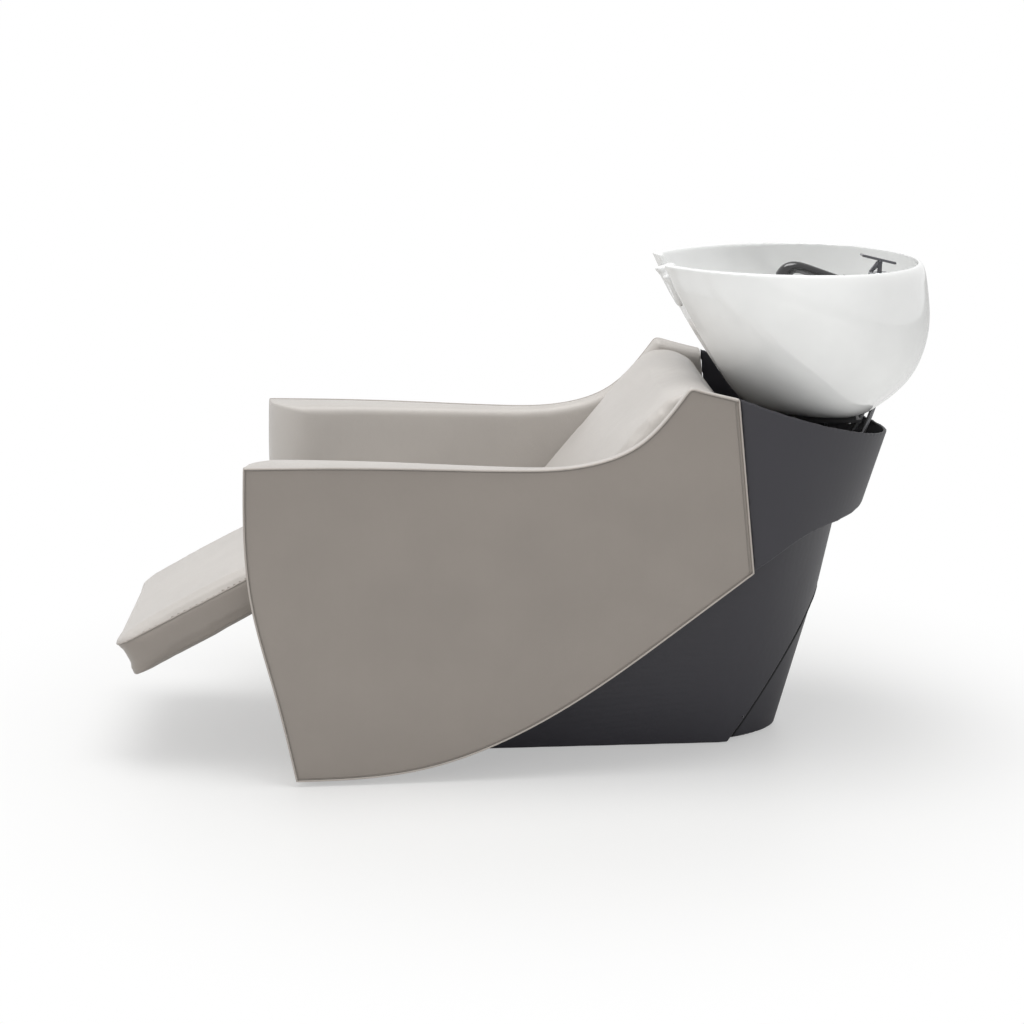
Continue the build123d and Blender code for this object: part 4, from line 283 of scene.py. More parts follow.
def braid(name):
    """Woven steel sleeve of a flexible hose."""
    material, tree, shader = node_tree(name)
    links = tree.links
    place = add_node(tree, "ShaderNodeTexCoord")
    waves = []
    for turn in (0.7, -0.7):
        lay = add_node(tree, "ShaderNodeMapping")
        lay.inputs["Rotation"].default_value = (turn, turn, turn)
        links.new(place.outputs["Object"], lay.inputs["Vector"])
        wave = add_node(tree, "ShaderNodeTexWave", Scale=260.0, Distortion=0.0)
        links.new(lay.outputs["Vector"], wave.inputs["Vector"])
        waves.append(wave)
    top = add_node(tree, "ShaderNodeMath", operation="MAXIMUM")
    links.new(waves[0].outputs["Fac"], top.inputs[0])
    links.new(waves[1].outputs["Fac"], top.inputs[1])
    ramp = add_node(tree, "ShaderNodeValToRGB")
    ramp.color_ramp.elements[0].color = (0.04, 0.04, 0.045, 1)
    ramp.color_ramp.elements[1].color = (0.30, 0.30, 0.31, 1)
    links.new(top.outputs["Value"], ramp.inputs["Fac"])
    links.new(ramp.outputs["Color"], shader.inputs["Base Color"])
    bump = add_node(tree, "ShaderNodeBump", Strength=0.4, Distance=0.0006)
    links.new(top.outputs["Value"], bump.inputs["Height"])
    links.new(bump.outputs["Normal"], shader.inputs["Normal"])
    shader.inputs["Metallic"].default_value = 0.7
    shader.inputs["Roughness"].default_value = 0.35
    return material


TAUPE = (0.252, 0.221, 0.194)
# The lighter tone below is the taupe leatherette with painted light: the same material as it looks where
# the overhead light falls on it
LIT_TAUPE = (0.520, 0.489, 0.457)
# The second tone on the next line is painted shade: the dark of the seams' grooves, put on thin tubes
# along them
PIPING_TONE, SEAM_SHADE_TONE = (0.40, 0.36, 0.325), (0.20, 0.178, 0.155)
WHITE_GLAZE, PALE_GEL = (0.86, 0.865, 0.857), (0.84, 0.845, 0.84)
ANTHRACITE, GLOSS_BLACK = (0.030, 0.029, 0.036), (0.010, 0.010, 0.011)
MATERIALS = {
    "arm_upholstery": leatherette("arm_leatherette", TAUPE),
    # the cushions, and the tops and inner faces of the panels, take the painted-lit copy of the taupe
    "cushion_upholstery": leatherette("painted_lit_leatherette", LIT_TAUPE, wrinkle=0.18),
    "piping": leatherette("piping_leatherette", PIPING_TONE, wrinkle=0.05),
    "ceramic": moulded("glazed_ceramic", WHITE_GLAZE, 0.10, grain=60.0, depth=0.02, coat=0.6),
    "shell_plastic": moulded("anthracite_plastic", ANTHRACITE, 0.50),
    "steel_frame": moulded("black_paint", (0.028, 0.028, 0.03), 0.38, depth=0.16),
    "fastener_steel": metal("fastener_steel", (0.56, 0.56, 0.57), 0.28, brushed=0.05),
    "plywood": plywood("plywood"),
    "chrome": metal("chrome", (0.46, 0.47, 0.48), 0.08),
    "black_gloss": moulded("black_gloss", GLOSS_BLACK, 0.10, grain=200.0, depth=0.02, coat=0.5),
    "pale_gel": moulded("pale_gel", PALE_GEL, 0.24, grain=90.0, depth=0.03, coat=0.2),
    "soft_black": moulded("soft_black", (0.02, 0.02, 0.021), 0.55, depth=0.2),
    "rubber_black": moulded("rubber_black", (0.025, 0.025, 0.025), 0.7, depth=0.25),
    "bush_plastic": moulded("bush_plastic", (0.68, 0.68, 0.65), 0.4),
    "braided_hose": braid("braided_hose"),
    "drain_plastic": moulded("drain_plastic", (0.66, 0.66, 0.65), 0.35),
    "red_lever": moulded("red_lever", (0.45, 0.02, 0.02), 0.3, coat=0.3),
    "blue_lever": moulded("blue_lever", (0.02, 0.07, 0.42), 0.3, coat=0.3),
}
# dark seam lines: painted shade in the grooves along the seams
SEAM_SHADE = leatherette("seam_groove_shade", SEAM_SHADE_TONE, wrinkle=0.05)
# chrome darkened to paint in the reflection of dark surroundings, for the mixer's lever
CHROME_DARK_REFLECTION = metal("chrome_painted_dark_reflection", (0.13, 0.13, 0.14), 0.14)
# near-black for the painted shade in the gap between the shells and the service panel
GAP_SHADE = moulded("shadow_gap", (0.006, 0.006, 0.007), 0.8)
SLOT_OF = {s["node"]: s["material_slot"] for s in frame["record"]["subparts"]}
for name, node in nodes.items():
    node.data.materials.clear()
    node.data.materials.append(MATERIALS[SLOT_OF[name]])


# mesh helpers
def dress(piece, slot_name, body, *replaced):
    piece.data.materials.clear()
    piece.data.materials.append(MATERIALS[slot_name])
    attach(piece, body)
    if replaced:
        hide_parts(*replaced)
    return piece


def applied(piece):
    """Turns the piece's modifiers into its mesh."""
    bpy.context.view_layer.update()
    graph = bpy.context.evaluated_depsgraph_get()
    shown = bpy.data.meshes.new_from_object(piece.evaluated_get(graph))
    piece.modifiers.clear()
    piece.data = shown
    return piece


def joined_copy(name, *sources):
    """One new object with the solids of several CAD nodes."""
    verts, faces, start = [], [], 0
    for source in sources:
        mesh = nodes[source].data
        verts += [tuple(v.co) for v in mesh.vertices]
        faces += [tuple(i + start for i in p.vertices) for p in mesh.polygons]
        start += len(mesh.vertices)
    mesh = bpy.data.meshes.new(name)
    mesh.from_pydata(verts, [], faces)
    piece = bpy.data.objects.new(name, mesh)
    scene.collection.objects.link(piece)
    return piece


def smooth_shade(piece):
    piece.data.polygons.foreach_set("use_smooth", [True] * len(piece.data.polygons))
    piece.data.update()
    return piece


def relax(piece, rounds):
    """Smooths a piece's mesh by moving each point towards its neighbours."""
    smooth = piece.modifiers.new("smooth", "SMOOTH")
    smooth.factor = SMOOTH_SHARE
    smooth.iterations = rounds
    return applied(piece)


def rounded(name, voxel, rounds, *sources):
    """A fused copy of CAD solids with its edges rounded off."""
    piece = joined_copy(name, *sources)
    remesh = piece.modifiers.new("remesh", "REMESH")
    remesh.mode = "VOXEL"
    remesh.voxel_size = voxel
    applied(piece)
    return smooth_shade(relax(piece, rounds))


def tree_of(piece):
    """The piece's surface, ready for nearest points and rays."""
    mesh = piece.data
    return BVHTree.FromPolygons([v.co for v in mesh.vertices], [p.vertices for p in mesh.polygons])


def points_of(piece):
    co = np.empty(len(piece.data.vertices) * 3)
    piece.data.vertices.foreach_get("co", co)
    return co.reshape(-1, 3)


def set_points(piece, co):
    piece.data.vertices.foreach_set("co", co.ravel())
    piece.data.update()


def tube(name, points, radius, closed=False, straight=False):
    """A round tube along a line, as a mesh."""
    curve = bpy.data.curves.new(name, "CURVE")
    curve.dimensions = "3D"
    line = curve.splines.new("POLY" if straight else "NURBS")
    line.points.add(len(points) - 1)
    for point, spot in zip(line.points, points):
        point.co = (*spot, 1.0)
    line.order_u = 3
    line.use_endpoint_u = not closed
    line.use_cyclic_u = closed
    line.resolution_u = CURVE_STEPS
    curve.bevel_depth = radius
    curve.bevel_resolution = CURVE_SIDES
    curve.use_fill_caps = not closed
    maker = bpy.data.objects.new(name + "_line", curve)
    scene.collection.objects.link(maker)
    bpy.context.view_layer.update()
    graph = bpy.context.evaluated_depsgraph_get()
    mesh = bpy.data.meshes.new_from_object(maker.evaluated_get(graph))
    bpy.data.objects.remove(maker)
    piece = bpy.data.objects.new(name, mesh)
    scene.collection.objects.link(piece)
    return smooth_shade(piece)


def sweep(name, path, sides=28):
    """A closed round body through centres, each with its radius and the direction that it faces."""
    verts, faces = [], []
    for centre, radius, facing in path:
        facing = Vector(facing).normalized()
        across = Vector((0, 1, 0))
        up = facing.cross(across)
        for k in range(sides):
            turn = 2 * math.pi * k / sides
            arm = across * (radius * math.cos(turn)) + up * (radius * math.sin(turn))
            verts.append(tuple(Vector(centre) + arm))
    for row in range(len(path) - 1):
        for k in range(sides):
            a, b = row * sides + k, row * sides + (k + 1) % sides
            faces.append((a, b, b + sides, a + sides))
    faces.append(tuple(reversed(range(sides))))
    faces.append(tuple(range((len(path) - 1) * sides, len(path) * sides)))
    mesh = bpy.data.meshes.new(name)
    mesh.from_pydata(verts, [], faces)
    piece = bpy.data.objects.new(name, mesh)
    scene.collection.objects.link(piece)
    soft = piece.modifiers.new("soft", "SUBSURF")
    soft.levels = soft.render_levels = 2
    applied(piece)
    return smooth_shade(piece)


# side panels: outline in shares of its length and height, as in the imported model
ARM_X, ARM_LONG, ARM_LOW, ARM_HIGH = -0.628, 0.932, 0.011, 0.724
HALF_FRONT, HALF_REAR = 0.350, 0.300
THICK_FRONT, THICK_REAR, WAIST = 0.100, 0.038, 0.63
FRONT_EDGE = ((0.003, 0.820), (0.0, 0.641), (0.010, 0.472), (0.0515, 0.235), (0.090, 0.0))
LOWER_EDGE = (
    (0.090, 0.0), (0.235, 0.004), (0.355, 0.026), (0.495, 0.087),
    (0.675, 0.215), (0.854, 0.380), (1.0, 0.521),
)
REAR_EDGE = ((1.0, 0.521), (0.9624, 0.970))
REAR_TOP = ((0.9624, 0.970), (0.924, 0.982), (0.880, 0.9975))
PEAK = ((0.880, 0.9975), (0.868, 0.999), (0.858, 0.987))
TOP_EDGE = (
    (0.858, 0.987), (0.807, 0.905), (0.768, 0.8605), (0.7296, 0.834), (0.690, 0.8177),
    (0.632, 0.805), (0.525, 0.802), (0.380, 0.809), (0.178, 0.8177), (0.003, 0.820),
)
WAIST_SOFT = 0.03
STEP, RIM_ROWS, RIM_BULGE = 0.006, 6, 0.0016
RINGS = (0.0004, 0.0012, 0.0026, 0.0045, 0.007, 0.010, 0.014, 0.019, 0.025)
RING_KEEP_SHARE, GRID_PITCH, GRID_CLEAR = 0.93, 0.012, 0.032
CROWN, CROWN_FROM, CROWN_RUN = 0.0030, 0.004, 0.035
FACE_ROUND, FACE_SUNK, LEAST_THICK = 0.0030, 0.0018, 0.010
BACK_ROUNDS = {"front": 0.088, "top": 0.017, "rear": 0.005, "lower": 0.009}


def spline(points, step):
    """Points every step along a natural cubic line through the given ones."""
    p = np.array(points, float)
    t = np.concatenate([[0.0], np.cumsum(np.linalg.norm(np.diff(p, axis=0), axis=1))])
    n = len(t)
    h = np.diff(t)
    system = np.eye(n)
    right = np.zeros((n, p.shape[1]))
    for i in range(1, n - 1):
        system[i, i - 1:i + 2] = h[i - 1], 2 * (h[i - 1] + h[i]), h[i]
        right[i] = 6 * ((p[i + 1] - p[i]) / h[i] - (p[i] - p[i - 1]) / h[i - 1])
    bend = np.linalg.solve(system, right)
    at = np.linspace(0, t[-1], max(2, int(round(t[-1] / step)) + 1))
    k = np.clip(np.searchsorted(t, at, side="right") - 1, 0, n - 2)
    a, b = (at - t[k])[:, None], (t[k + 1] - at)[:, None]
    hk = h[k][:, None]
    return (
        bend[k] * b ** 3 / (6 * hk) + bend[k + 1] * a ** 3 / (6 * hk)
        + (p[k] / hk - bend[k] * hk / 6) * b + (p[k + 1] / hk - bend[k + 1] * hk / 6) * a
    )


def place(shares):
    return [(ARM_X + u * ARM_LONG, ARM_LOW + w * ARM_HIGH) for u, w in shares]


edges = {
    "front": spline(place(FRONT_EDGE), STEP),
    "lower": spline(place(LOWER_EDGE), STEP),
    "rear": spline(place(REAR_EDGE), STEP),
    "top": np.concatenate([
        spline(place(REAR_TOP), STEP)[:-1],
        spline(place(PEAK), STEP / 2)[:-1],
        spline(place(TOP_EDGE), STEP),
    ]),
}
OUTLINE = np.concatenate([line[:-1] for line in edges.values()])


def away(points, line, closed=False):
    """Distance of each point from a line of points."""
    a = line
    b = np.roll(line, -1, axis=0) if closed else line[1:]
    a = a if closed else line[:-1]
    run = b - a
    size = (run ** 2).sum(1)
    best = np.full(len(points), 1e9)
    for start, way, length in zip(a, run, size):
        share = np.clip(((points - start) @ way) / length, 0, 1)[:, None]
        best = np.minimum(best, np.linalg.norm(points - start - share * way, axis=1))
    return best


def inward(line):
    """Unit normals of the closed outline, towards the panel's inside."""
    run = np.roll(line, -1, axis=0) - np.roll(line, 1, axis=0)
    normal = np.stack([-run[:, 1], run[:, 0]], 1)
    normal /= np.linalg.norm(normal, axis=1, keepdims=True)
    after = np.roll(line, -1, axis=0)
    area = 0.5 * np.sum(line[:, 0] * after[:, 1] - after[:, 0] * line[:, 1])
    return normal if area > 0 else -normal


def outer_y(x):
    return HALF_FRONT + (HALF_REAR - HALF_FRONT) * (x - ARM_X) / ARM_LONG


def inner_y(x):
    waist_x = ARM_X + WAIST * ARM_LONG
    waist = outer_y(waist_x) - THICK_REAR
    front = HALF_FRONT - THICK_FRONT
    taper = front + (waist - front) * (x - ARM_X) / (waist_x - ARM_X)
    behind = outer_y(x) - THICK_REAR
    share = np.clip((x - waist_x + WAIST_SOFT) / (2 * WAIST_SOFT), 0, 1)
    share = share * share * (3 - 2 * share)
    return taper * (1 - share) + behind * share


def turned(distance, radius):
    """How far a rounded edge of this radius falls back at a distance from it."""
    near = np.clip(radius - distance, 0, radius)
    return radius - np.sqrt(np.maximum(radius ** 2 - near ** 2, 0))


flat_points = [OUTLINE]
normals = inward(OUTLINE)
for inset in RINGS:
    ring = OUTLINE + normals * inset
    flat_points.append(ring[away(ring, OUTLINE, closed=True) > inset * RING_KEEP_SHARE])
span_x = np.arange(OUTLINE[:, 0].min(), OUTLINE[:, 0].max(), GRID_PITCH)
span_z = np.arange(OUTLINE[:, 1].min(), OUTLINE[:, 1].max(), GRID_PITCH)
grid = np.stack(np.meshgrid(span_x, span_z), -1).reshape(-1, 2)
grid[:, 0] += GRID_PITCH / 2 * (np.round((grid[:, 1] - span_z[0]) / GRID_PITCH) % 2)


def inside(points, line):
    """Whether each point lies within the closed outline."""
    hit = np.zeros(len(points), bool)
    for (ax, az), (bx, bz) in zip(line, np.roll(line, -1, axis=0)):
        crosses = (az > points[:, 1]) != (bz > points[:, 1])
        if az != bz:
            hit ^= crosses & (points[:, 0] < (bx - ax) * (points[:, 1] - az) / (bz - az) + ax)
    return hit


grid = grid[inside(grid, OUTLINE)]
grid = grid[away(grid, OUTLINE, closed=True) > GRID_CLEAR]
flat_points.append(grid)
flat = np.concatenate(flat_points)
loop_size = len(OUTLINE)
loop = [(i, (i + 1) % loop_size) for i in range(loop_size)]
sheet_points, _, sheet_faces, origin, _, _ = geometry.delaunay_2d_cdt(
    [Vector(p) for p in flat], loop, [], 1, 1e-7
)
sheet = np.array([tuple(p) for p in sheet_points])
order_of = {old: new for new, olds in enumerate(origin) for old in olds}
rim = [order_of[i] for i in range(loop_size)]
depth = away(sheet, OUTLINE, closed=True)
fall = {name: away(sheet, line) for name, line in edges.items()}

swell = CROWN * (1 - np.exp(-np.maximum(depth - CROWN_FROM, 0) / CROWN_RUN))
swell -= turned(depth, FACE_ROUND)
sheet_x = sheet[:, 0]
room = outer_y(sheet_x) - inner_y(sheet_x) - LEAST_THICK
back_off = np.sqrt(sum(turned(fall[name], radius) ** 2 for name, radius in BACK_ROUNDS.items()))
back_off = np.minimum(back_off, room)


def paint_lit_faces(piece, is_outer):
    """The lighter, painted-lit copy of the taupe leatherette on all faces but the outer ones, which keep
    the plain taupe.
    """
    piece.data.materials.clear()
    piece.data.materials.append(MATERIALS["arm_upholstery"])
    piece.data.materials.append(MATERIALS["cushion_upholstery"])
    for face in piece.data.polygons:
        face.material_index = 0 if is_outer(face) else 1


def rim_band(verts, outside, within, side):
    """Faces round the panel's rim, from its outer face to its inner one; adds their points."""
    faces = []
    count = len(sheet)
    previous = rim
    for row in range(1, RIM_ROWS + 1):
        share = row / RIM_ROWS
        current = [i + count for i in rim]
        if row < RIM_ROWS:
            start = len(verts)
            bulge = RIM_BULGE * math.sin(math.pi * share)
            for i, normal in zip(rim, normals):
                y = outside[i] + (within[i] - outside[i]) * share
                verts.append((sheet[i][0] - normal[0] * bulge, side * y, sheet[i][1] - normal[1] * bulge))
            current = list(range(start, start + loop_size))
        for i in range(loop_size):
            j = (i + 1) % loop_size
            faces.append((previous[i], previous[j], current[j], current[i]))
        previous = current
    return faces


def make_panel(name, side):
    outside = outer_y(sheet_x) - FACE_SUNK + swell
    within = inner_y(sheet_x) + back_off
    count = len(sheet)
    verts = [(px, side * y, pz) for (px, pz), y in zip(sheet, outside)]
    verts += [(px, side * y, pz) for (px, pz), y in zip(sheet, within)]
    faces = []
    for face in sheet_faces:
        faces.append(tuple(face))
        faces.append(tuple(i + count for i in reversed(face)))
    faces += rim_band(verts, outside, within, side)
    mesh = bpy.data.meshes.new(name)
    mesh.from_pydata(verts, [], faces)
    even = bmesh.new()
    even.from_mesh(mesh)
    bmesh.ops.recalc_face_normals(even, faces=even.faces)
    even.to_mesh(mesh)
    even.free()
    piece = bpy.data.objects.new(name, mesh)
    scene.collection.objects.link(piece)
    return smooth_shade(piece)


def outline_tube(name, sign, inset, inset_rear, sunk, radius):
    """A tube on a panel's outer face, along its outline drawn in."""
    near_rear = np.clip(1 - away(OUTLINE, edges["rear"]) / REAR_BLEND, 0, 1)
    line = OUTLINE + normals * (inset + (inset_rear - inset) * near_rear)[:, None]
    spots = [(px, sign * (outer_y(px) - sunk), pz) for px, pz in line]
    return tube(name, spots, radius, closed=True, straight=True)


def on_outer_face(face):
    return max(face.vertices) < len(sheet)


for side, sign in (("left", -1), ("right", 1)):
    panel = make_panel(f"{side}_panel", sign)
    dress(panel, "arm_upholstery", "frame", f"{side}_arm_cover", f"{side}_arm_carcass")
    # painted light: the panel's top, rim and inner face take the lighter lit copy of the taupe
    paint_lit_faces(panel, on_outer_face)
    welt = outline_tube(f"{side}_welt", sign, WELT_INSET, WELT_INSET, WELT_SUNK, WELT_RADIUS)
    dress(welt, "piping", "frame", f"{side}_arm_piping")
    # a dark line inside the welt: painted shade in the seam's groove
    seam = outline_tube(f"{side}_seam", sign, SEAM_INSET, SEAM_INSET_REAR, SEAM_SUNK, SEAM_RADIUS)
    dress(seam, "piping", "frame")
    seam.data.materials[0] = SEAM_SHADE


# cushions
def cushion(name, sources, voxel, cap, body, slot_name="cushion_upholstery", shape=None):
    """A padded piece: a fused copy of its solids, blown up a little as cloth, with capped travel."""
    piece = rounded(name, voxel, CUSHION_ROUNDS, *sources)
    before = points_of(piece).copy()
    cloth = piece.modifiers.new("cloth", "CLOTH")
    cloth.settings.use_pressure = True
    cloth.settings.uniform_pressure_force = CLOTH_PRESSURE
    cloth.settings.effector_weights.gravity = 0.0
    cloth.settings.quality = CLOTH_QUALITY
    for step in range(1, CLOTH_STEPS + 1):
        scene.frame_set(step)
    applied(piece)
    scene.frame_set(1)
    moved = points_of(piece) - before
    length = np.linalg.norm(moved, axis=1, keepdims=True)
    moved *= np.minimum(1.0, cap / np.maximum(length, 1e-9))
    set_points(piece, before + moved)
    relax(piece, CUSHION_LAST_ROUNDS)
    if shape:
        shape(piece)
    smooth_shade(piece)
    dress(piece, slot_name, body, *sources)
    return piece


def on_surface(piece, points, lift):
    """Each point moved to the nearest place on the piece's surface, and lifted off it."""
    tree = tree_of(piece)
    found = []
    for point in points:
        spot, normal, _, _ = tree.find_nearest(Vector(point))
        found.append(tuple(spot + normal * lift))
    return found


def piping(name, piece, points, radius, body, lift=WELT_LIFT, material=None):
    """A welt or a seam along a line of points on a padded piece."""
    welt = tube(name, on_surface(piece, points, lift), radius, straight=True)
    dress(welt, "piping", body)
    if material:
        welt.data.materials[0] = material
    return welt


def spread(start, end, count):
    """Evenly spaced points from one place to another."""
    a, b = np.array(start, float), np.array(end, float)
    return [tuple(a + (b - a) * i / (count - 1)) for i in range(count)]


# the footrest's own directions: out from the axle, and up off its line
tilt_c, tilt_s = math.cos(math.radians(FOOT_SLOPE)), math.sin(math.radians(FOOT_SLOPE))


def off_foot(x, z):
    """How far out from the axle a place is, and how far up off the axle's line."""
    dx, dz = x - FOOT_PIVOT[0], z - FOOT_PIVOT[1]
    return -dx * tilt_c - dz * tilt_s, -dx * tilt_s + dz * tilt_c


def on_foot(out, across, up):
    """A place on the footrest: distance from the axle, to the side and above the axle's line."""
    return (FOOT_PIVOT[0] - out * tilt_c - up * tilt_s, across, FOOT_PIVOT[1] - out * tilt_s + up * tilt_c)


def drawn_out(piece):
    """Draws the footrest's free end out square, and keeps the crown of its top."""
    co = points_of(piece)
    out, up = off_foot(co[:, 0], co[:, 2])
    far = np.clip(out / FOOT_DRAWN_FROM, 0, 1)
    up = np.where(up < FOOT_SEAM, FOOT_SEAM - (FOOT_SEAM - up) * (1 + FOOT_DEEPER * far), up)
    levels = np.linspace(up.min(), up.max(), END_LEVELS)
    slab = (levels[1] - levels[0]) * LEVEL_DEPTH
    seen = np.array([out[np.abs(up - level) < slab].max() for level in levels])
    wanted = FOOT_REACH - turned(levels - levels[0], FOOT_LOW_EDGE)
    at_seam = np.interp(FOOT_SEAM, levels, seen)
    wanted = np.where(levels > FOOT_SEAM, seen + FOOT_REACH - at_seam, wanted)
    share = (wanted - FOOT_DRAWN_FROM) / (seen - FOOT_DRAWN_FROM)
    past = np.maximum(out - FOOT_DRAWN_FROM, 0)
    out = out + past * (np.interp(up, levels, share) - 1)
    co[:, 0], _, co[:, 2] = on_foot(out, 0, up)
    set_points(piece, co)


def below_seam(face):
    """Whether a face is on the footrest's sides or underside, which keep the panels' plain taupe; the top
    takes the painted-lit copy.
    """
    _, up = off_foot(face.center.x, face.center.z)
    return up < FOOT_SEAM - SEAM_EDGE


def foot_loop(up):
    """Points round the footrest's two sides and free end, at one height above the axle's line."""
    r, wide = FOOT_CORNER, FOOT_HALF
    near = FOOT_REACH - r
    turns = [math.pi / 2 * step / CORNER_STEPS for step in range(1, CORNER_STEPS)]
    loop = spread(on_foot(0.0, -wide, up), on_foot(near, -wide, up), SIDE_POINTS)
    loop += [on_foot(near + r * math.sin(t), -wide + r - r * math.cos(t), up) for t in turns]
    loop += spread(on_foot(FOOT_REACH, -wide + r, up), on_foot(FOOT_REACH, wide - r, up), SIDE_POINTS)
    loop += [on_foot(near + r * math.cos(t), wide - r + r * math.sin(t), up) for t in turns]
    return loop + spread(on_foot(near, wide, up), on_foot(0.0, wide, up), SIDE_POINTS)


# the seat and back are wholly in the painted-lit copy of the taupe
seat = cushion("seat_pad", ["seat_cushion"], 0.007, 0.006, "frame")
back = cushion("back_pad", ["back_cushion"], 0.007, 0.005, "frame")
foot = cushion(
    "footrest_pad", ["footrest_cushion", "footrest_board"], 0.0055, 0.004, "footrest", shape=drawn_out
)
cushion("apron_pad", ["seat_apron"], 0.006, 0.002, "frame", slot_name="arm_upholstery")
# painted light: the footrest's top takes the lighter lit copy, its sides and underside the plain taupe
paint_lit_faces(foot, below_seam)

# piping of the back: along the rear edge of its rolled top, from panel to panel
slope = math.radians(BACK_SLOPE)
along = BACK_FACE + BACK_DROP
edge_x = BACK_FOOT[0] + along * math.cos(slope) + BACK_THICK * math.sin(slope)
edge_z = BACK_FOOT[1] + along * math.sin(slope) - BACK_THICK * math.cos(slope)
half = outer_y(edge_x) - THICK_REAR - BACK_WELT_GAP
welt_line = spread((edge_x, -half, edge_z), (edge_x, half, edge_z), WELT_POINTS)
piping("back_rear_welt", back, welt_line, BACK_WELT_RADIUS, "frame")

# welt of the footrest, round its sides and free end, and the seam below it, drawn as a dark line of
# painted shade in its groove
piping("footrest_welt", foot, foot_loop(FOOT_SEAM), FOOT_WELT_RADIUS, "footrest", lift=0.0)
seam_line = foot_loop(FOOT_SEAM - FOOT_SEAM_BELOW)
piping("footrest_seam", foot, seam_line, SEAM_RADIUS, "footrest", lift=0.0, material=SEAM_SHADE)

# welt along the seat's front edge
ends = [(SEAT_FRONT, side * SEAT_WELT_HALF, SEAT_TOP) for side in (-1, 1)]
piping("seat_front_welt", seat, spread(*ends, WELT_POINTS), SEAT_WELT_RADIUS, "frame")

# shell, collar and basin
for name, source, rounds in (
    ("base_shell_left", "side_shell_left", 3), ("base_shell_right", "side_shell_right", 3),
    ("rear_service_panel", "service_panel", 2), ("collar", "cradle_collar", 4),
):
    dress(rounded(name, SHELL_VOXEL, rounds, source), "shell_plastic", "frame", source)
dress(rounded("ceramic_bowl", SHELL_VOXEL, BOWL_ROUNDS, "bowl"), "ceramic", "basin", "bowl")
neck_gel = rounded("neck_gel", GEL_VOXEL, GEL_ROUNDS, "neck_rest")
co = points_of(neck_gel)
co += GEL_SWELL * np.array([tuple(v.normal) for v in neck_gel.data.vertices])
co[:, 2] = np.where(co[:, 2] > GEL_BEND_Z, GEL_BEND_Z + (co[:, 2] - GEL_BEND_Z) * GEL_TOP_SHARE, co[:, 2])
set_points(neck_gel, co)
smooth_shade(relax(neck_gel, GEL_LAST_ROUNDS))
dress(neck_gel, "pale_gel", "basin", "neck_rest")


def highest(cast, low, high):
    """The last place that cast finds on the way up from low to high, by halving."""
    hit = None
    for _ in range(SEARCH_STEPS):
        middle = (low + high) / 2
        spot = cast(middle)
        if spot is None:
            high = middle
        else:
            low, hit = middle, spot
    return hit


# the collar's rolled lip
collar_tree = tree_of(bpy.data.objects["collar"])


def lip_point(turn):
    """A point just inside the collar's top edge, seen from outside at a turn about its middle."""
    way = Vector((math.cos(turn), math.sin(turn), 0))

    def cast(z):
        start = Vector((LIP_CENTRE_X, 0, z)) + way
        spot = collar_tree.ray_cast(start, -way, 1.0)[0]
        return spot if spot is not None and (spot - start).length < LIP_LONGEST else None

    hit = highest(cast, LIP_LOW_Z, LIP_HIGH_Z)
    return None if hit is None else hit - way * LIP_IN - Vector((0, 0, LIP_DOWN))


turns = range(-LIP_HALF_TURN, LIP_HALF_TURN + 1, LIP_TURN_STEP)
lip = [lip_point(math.radians(turn)) for turn in turns]
lip = [spot for spot in lip if spot is not None]
dress(tube("collar_lip", lip, LIP_RADIUS, straight=True), "shell_plastic", "frame")

# the painted shade in the joint between shells and service panel, as a near-black tube: up one side, over
# the top, down the other
panel_tree = tree_of(bpy.data.objects["rear_service_panel"])


def joint_x(z):
    """The joint's x at a height, a little behind the shell's slanted rear edge."""
    share = z / EDGE_TOP[1]
    beside = JOINT_BESIDE + (JOINT_BESIDE_TOP - JOINT_BESIDE) * share
    return EDGE_FOOT[0] + (EDGE_TOP[0] - EDGE_FOOT[0]) * share + beside


def joint_side(side):
    """Points up one side of the joint, on the service panel's wall."""
    found = []
    for z in np.linspace(JOINT_FOOT_Z, JOINT_SIDE_TOP_Z, JOINT_SIDE_POINTS):
        start = Vector((joint_x(z), side * SIDE_RAY_Y, z))
        spot = panel_tree.ray_cast(start, Vector((0, -side, 0)), SIDE_RAY_REACH)[0]
        if spot is not None:
            found.append((spot.x, spot.y - side * JOINT_SUNK, spot.z))
    return found


def arc_point(y):
    """The joint's place over the top of the service panel, at a distance from the middle."""
    def cast(z):
        spot = panel_tree.ray_cast(Vector((REAR_RAY_X, y, z)), Vector((-1, 0, 0)), REAR_RAY_REACH)[0]
        return spot if spot is not None and spot.x > joint_x(z) else None

    return highest(cast, JOINT_SIDE_TOP_Z - JOINT_ARC_DROP, EDGE_TOP[1])


arc = [arc_point(y) for y in np.linspace(-JOINT_ARC_HALF, JOINT_ARC_HALF, JOINT_ARC_POINTS)]
arc = [(spot.x - JOINT_SUNK, spot.y, spot.z) for spot in arc if spot is not None]
joint = joint_side(-1) + arc + joint_side(1)[::-1]
crease = dress(tube("service_panel_joint", joint, JOINT_RADIUS, straight=True), "rubber_black", "frame")
# near-black: painted shade in the gap
crease.data.materials[0] = GAP_SHADE

# a small screw in each shell, just before its rear edge
for side, name in ((-1, "left"), (1, "right")):
    shell_tree = tree_of(bpy.data.objects[f"base_shell_{name}"])
    start = Vector((SCREW_AT[0], side * SIDE_RAY_Y, SCREW_AT[1]))
    spot, normal, _, _ = shell_tree.ray_cast(start, Vector((0, -side, 0)), SIDE_RAY_REACH)
    head = [(spot + normal * lift, radius, normal) for lift, radius in SCREW_HEAD]
    dress(sweep(f"{name}_shell_screw", head, sides=SCREW_SIDES), "fastener_steel", "frame")

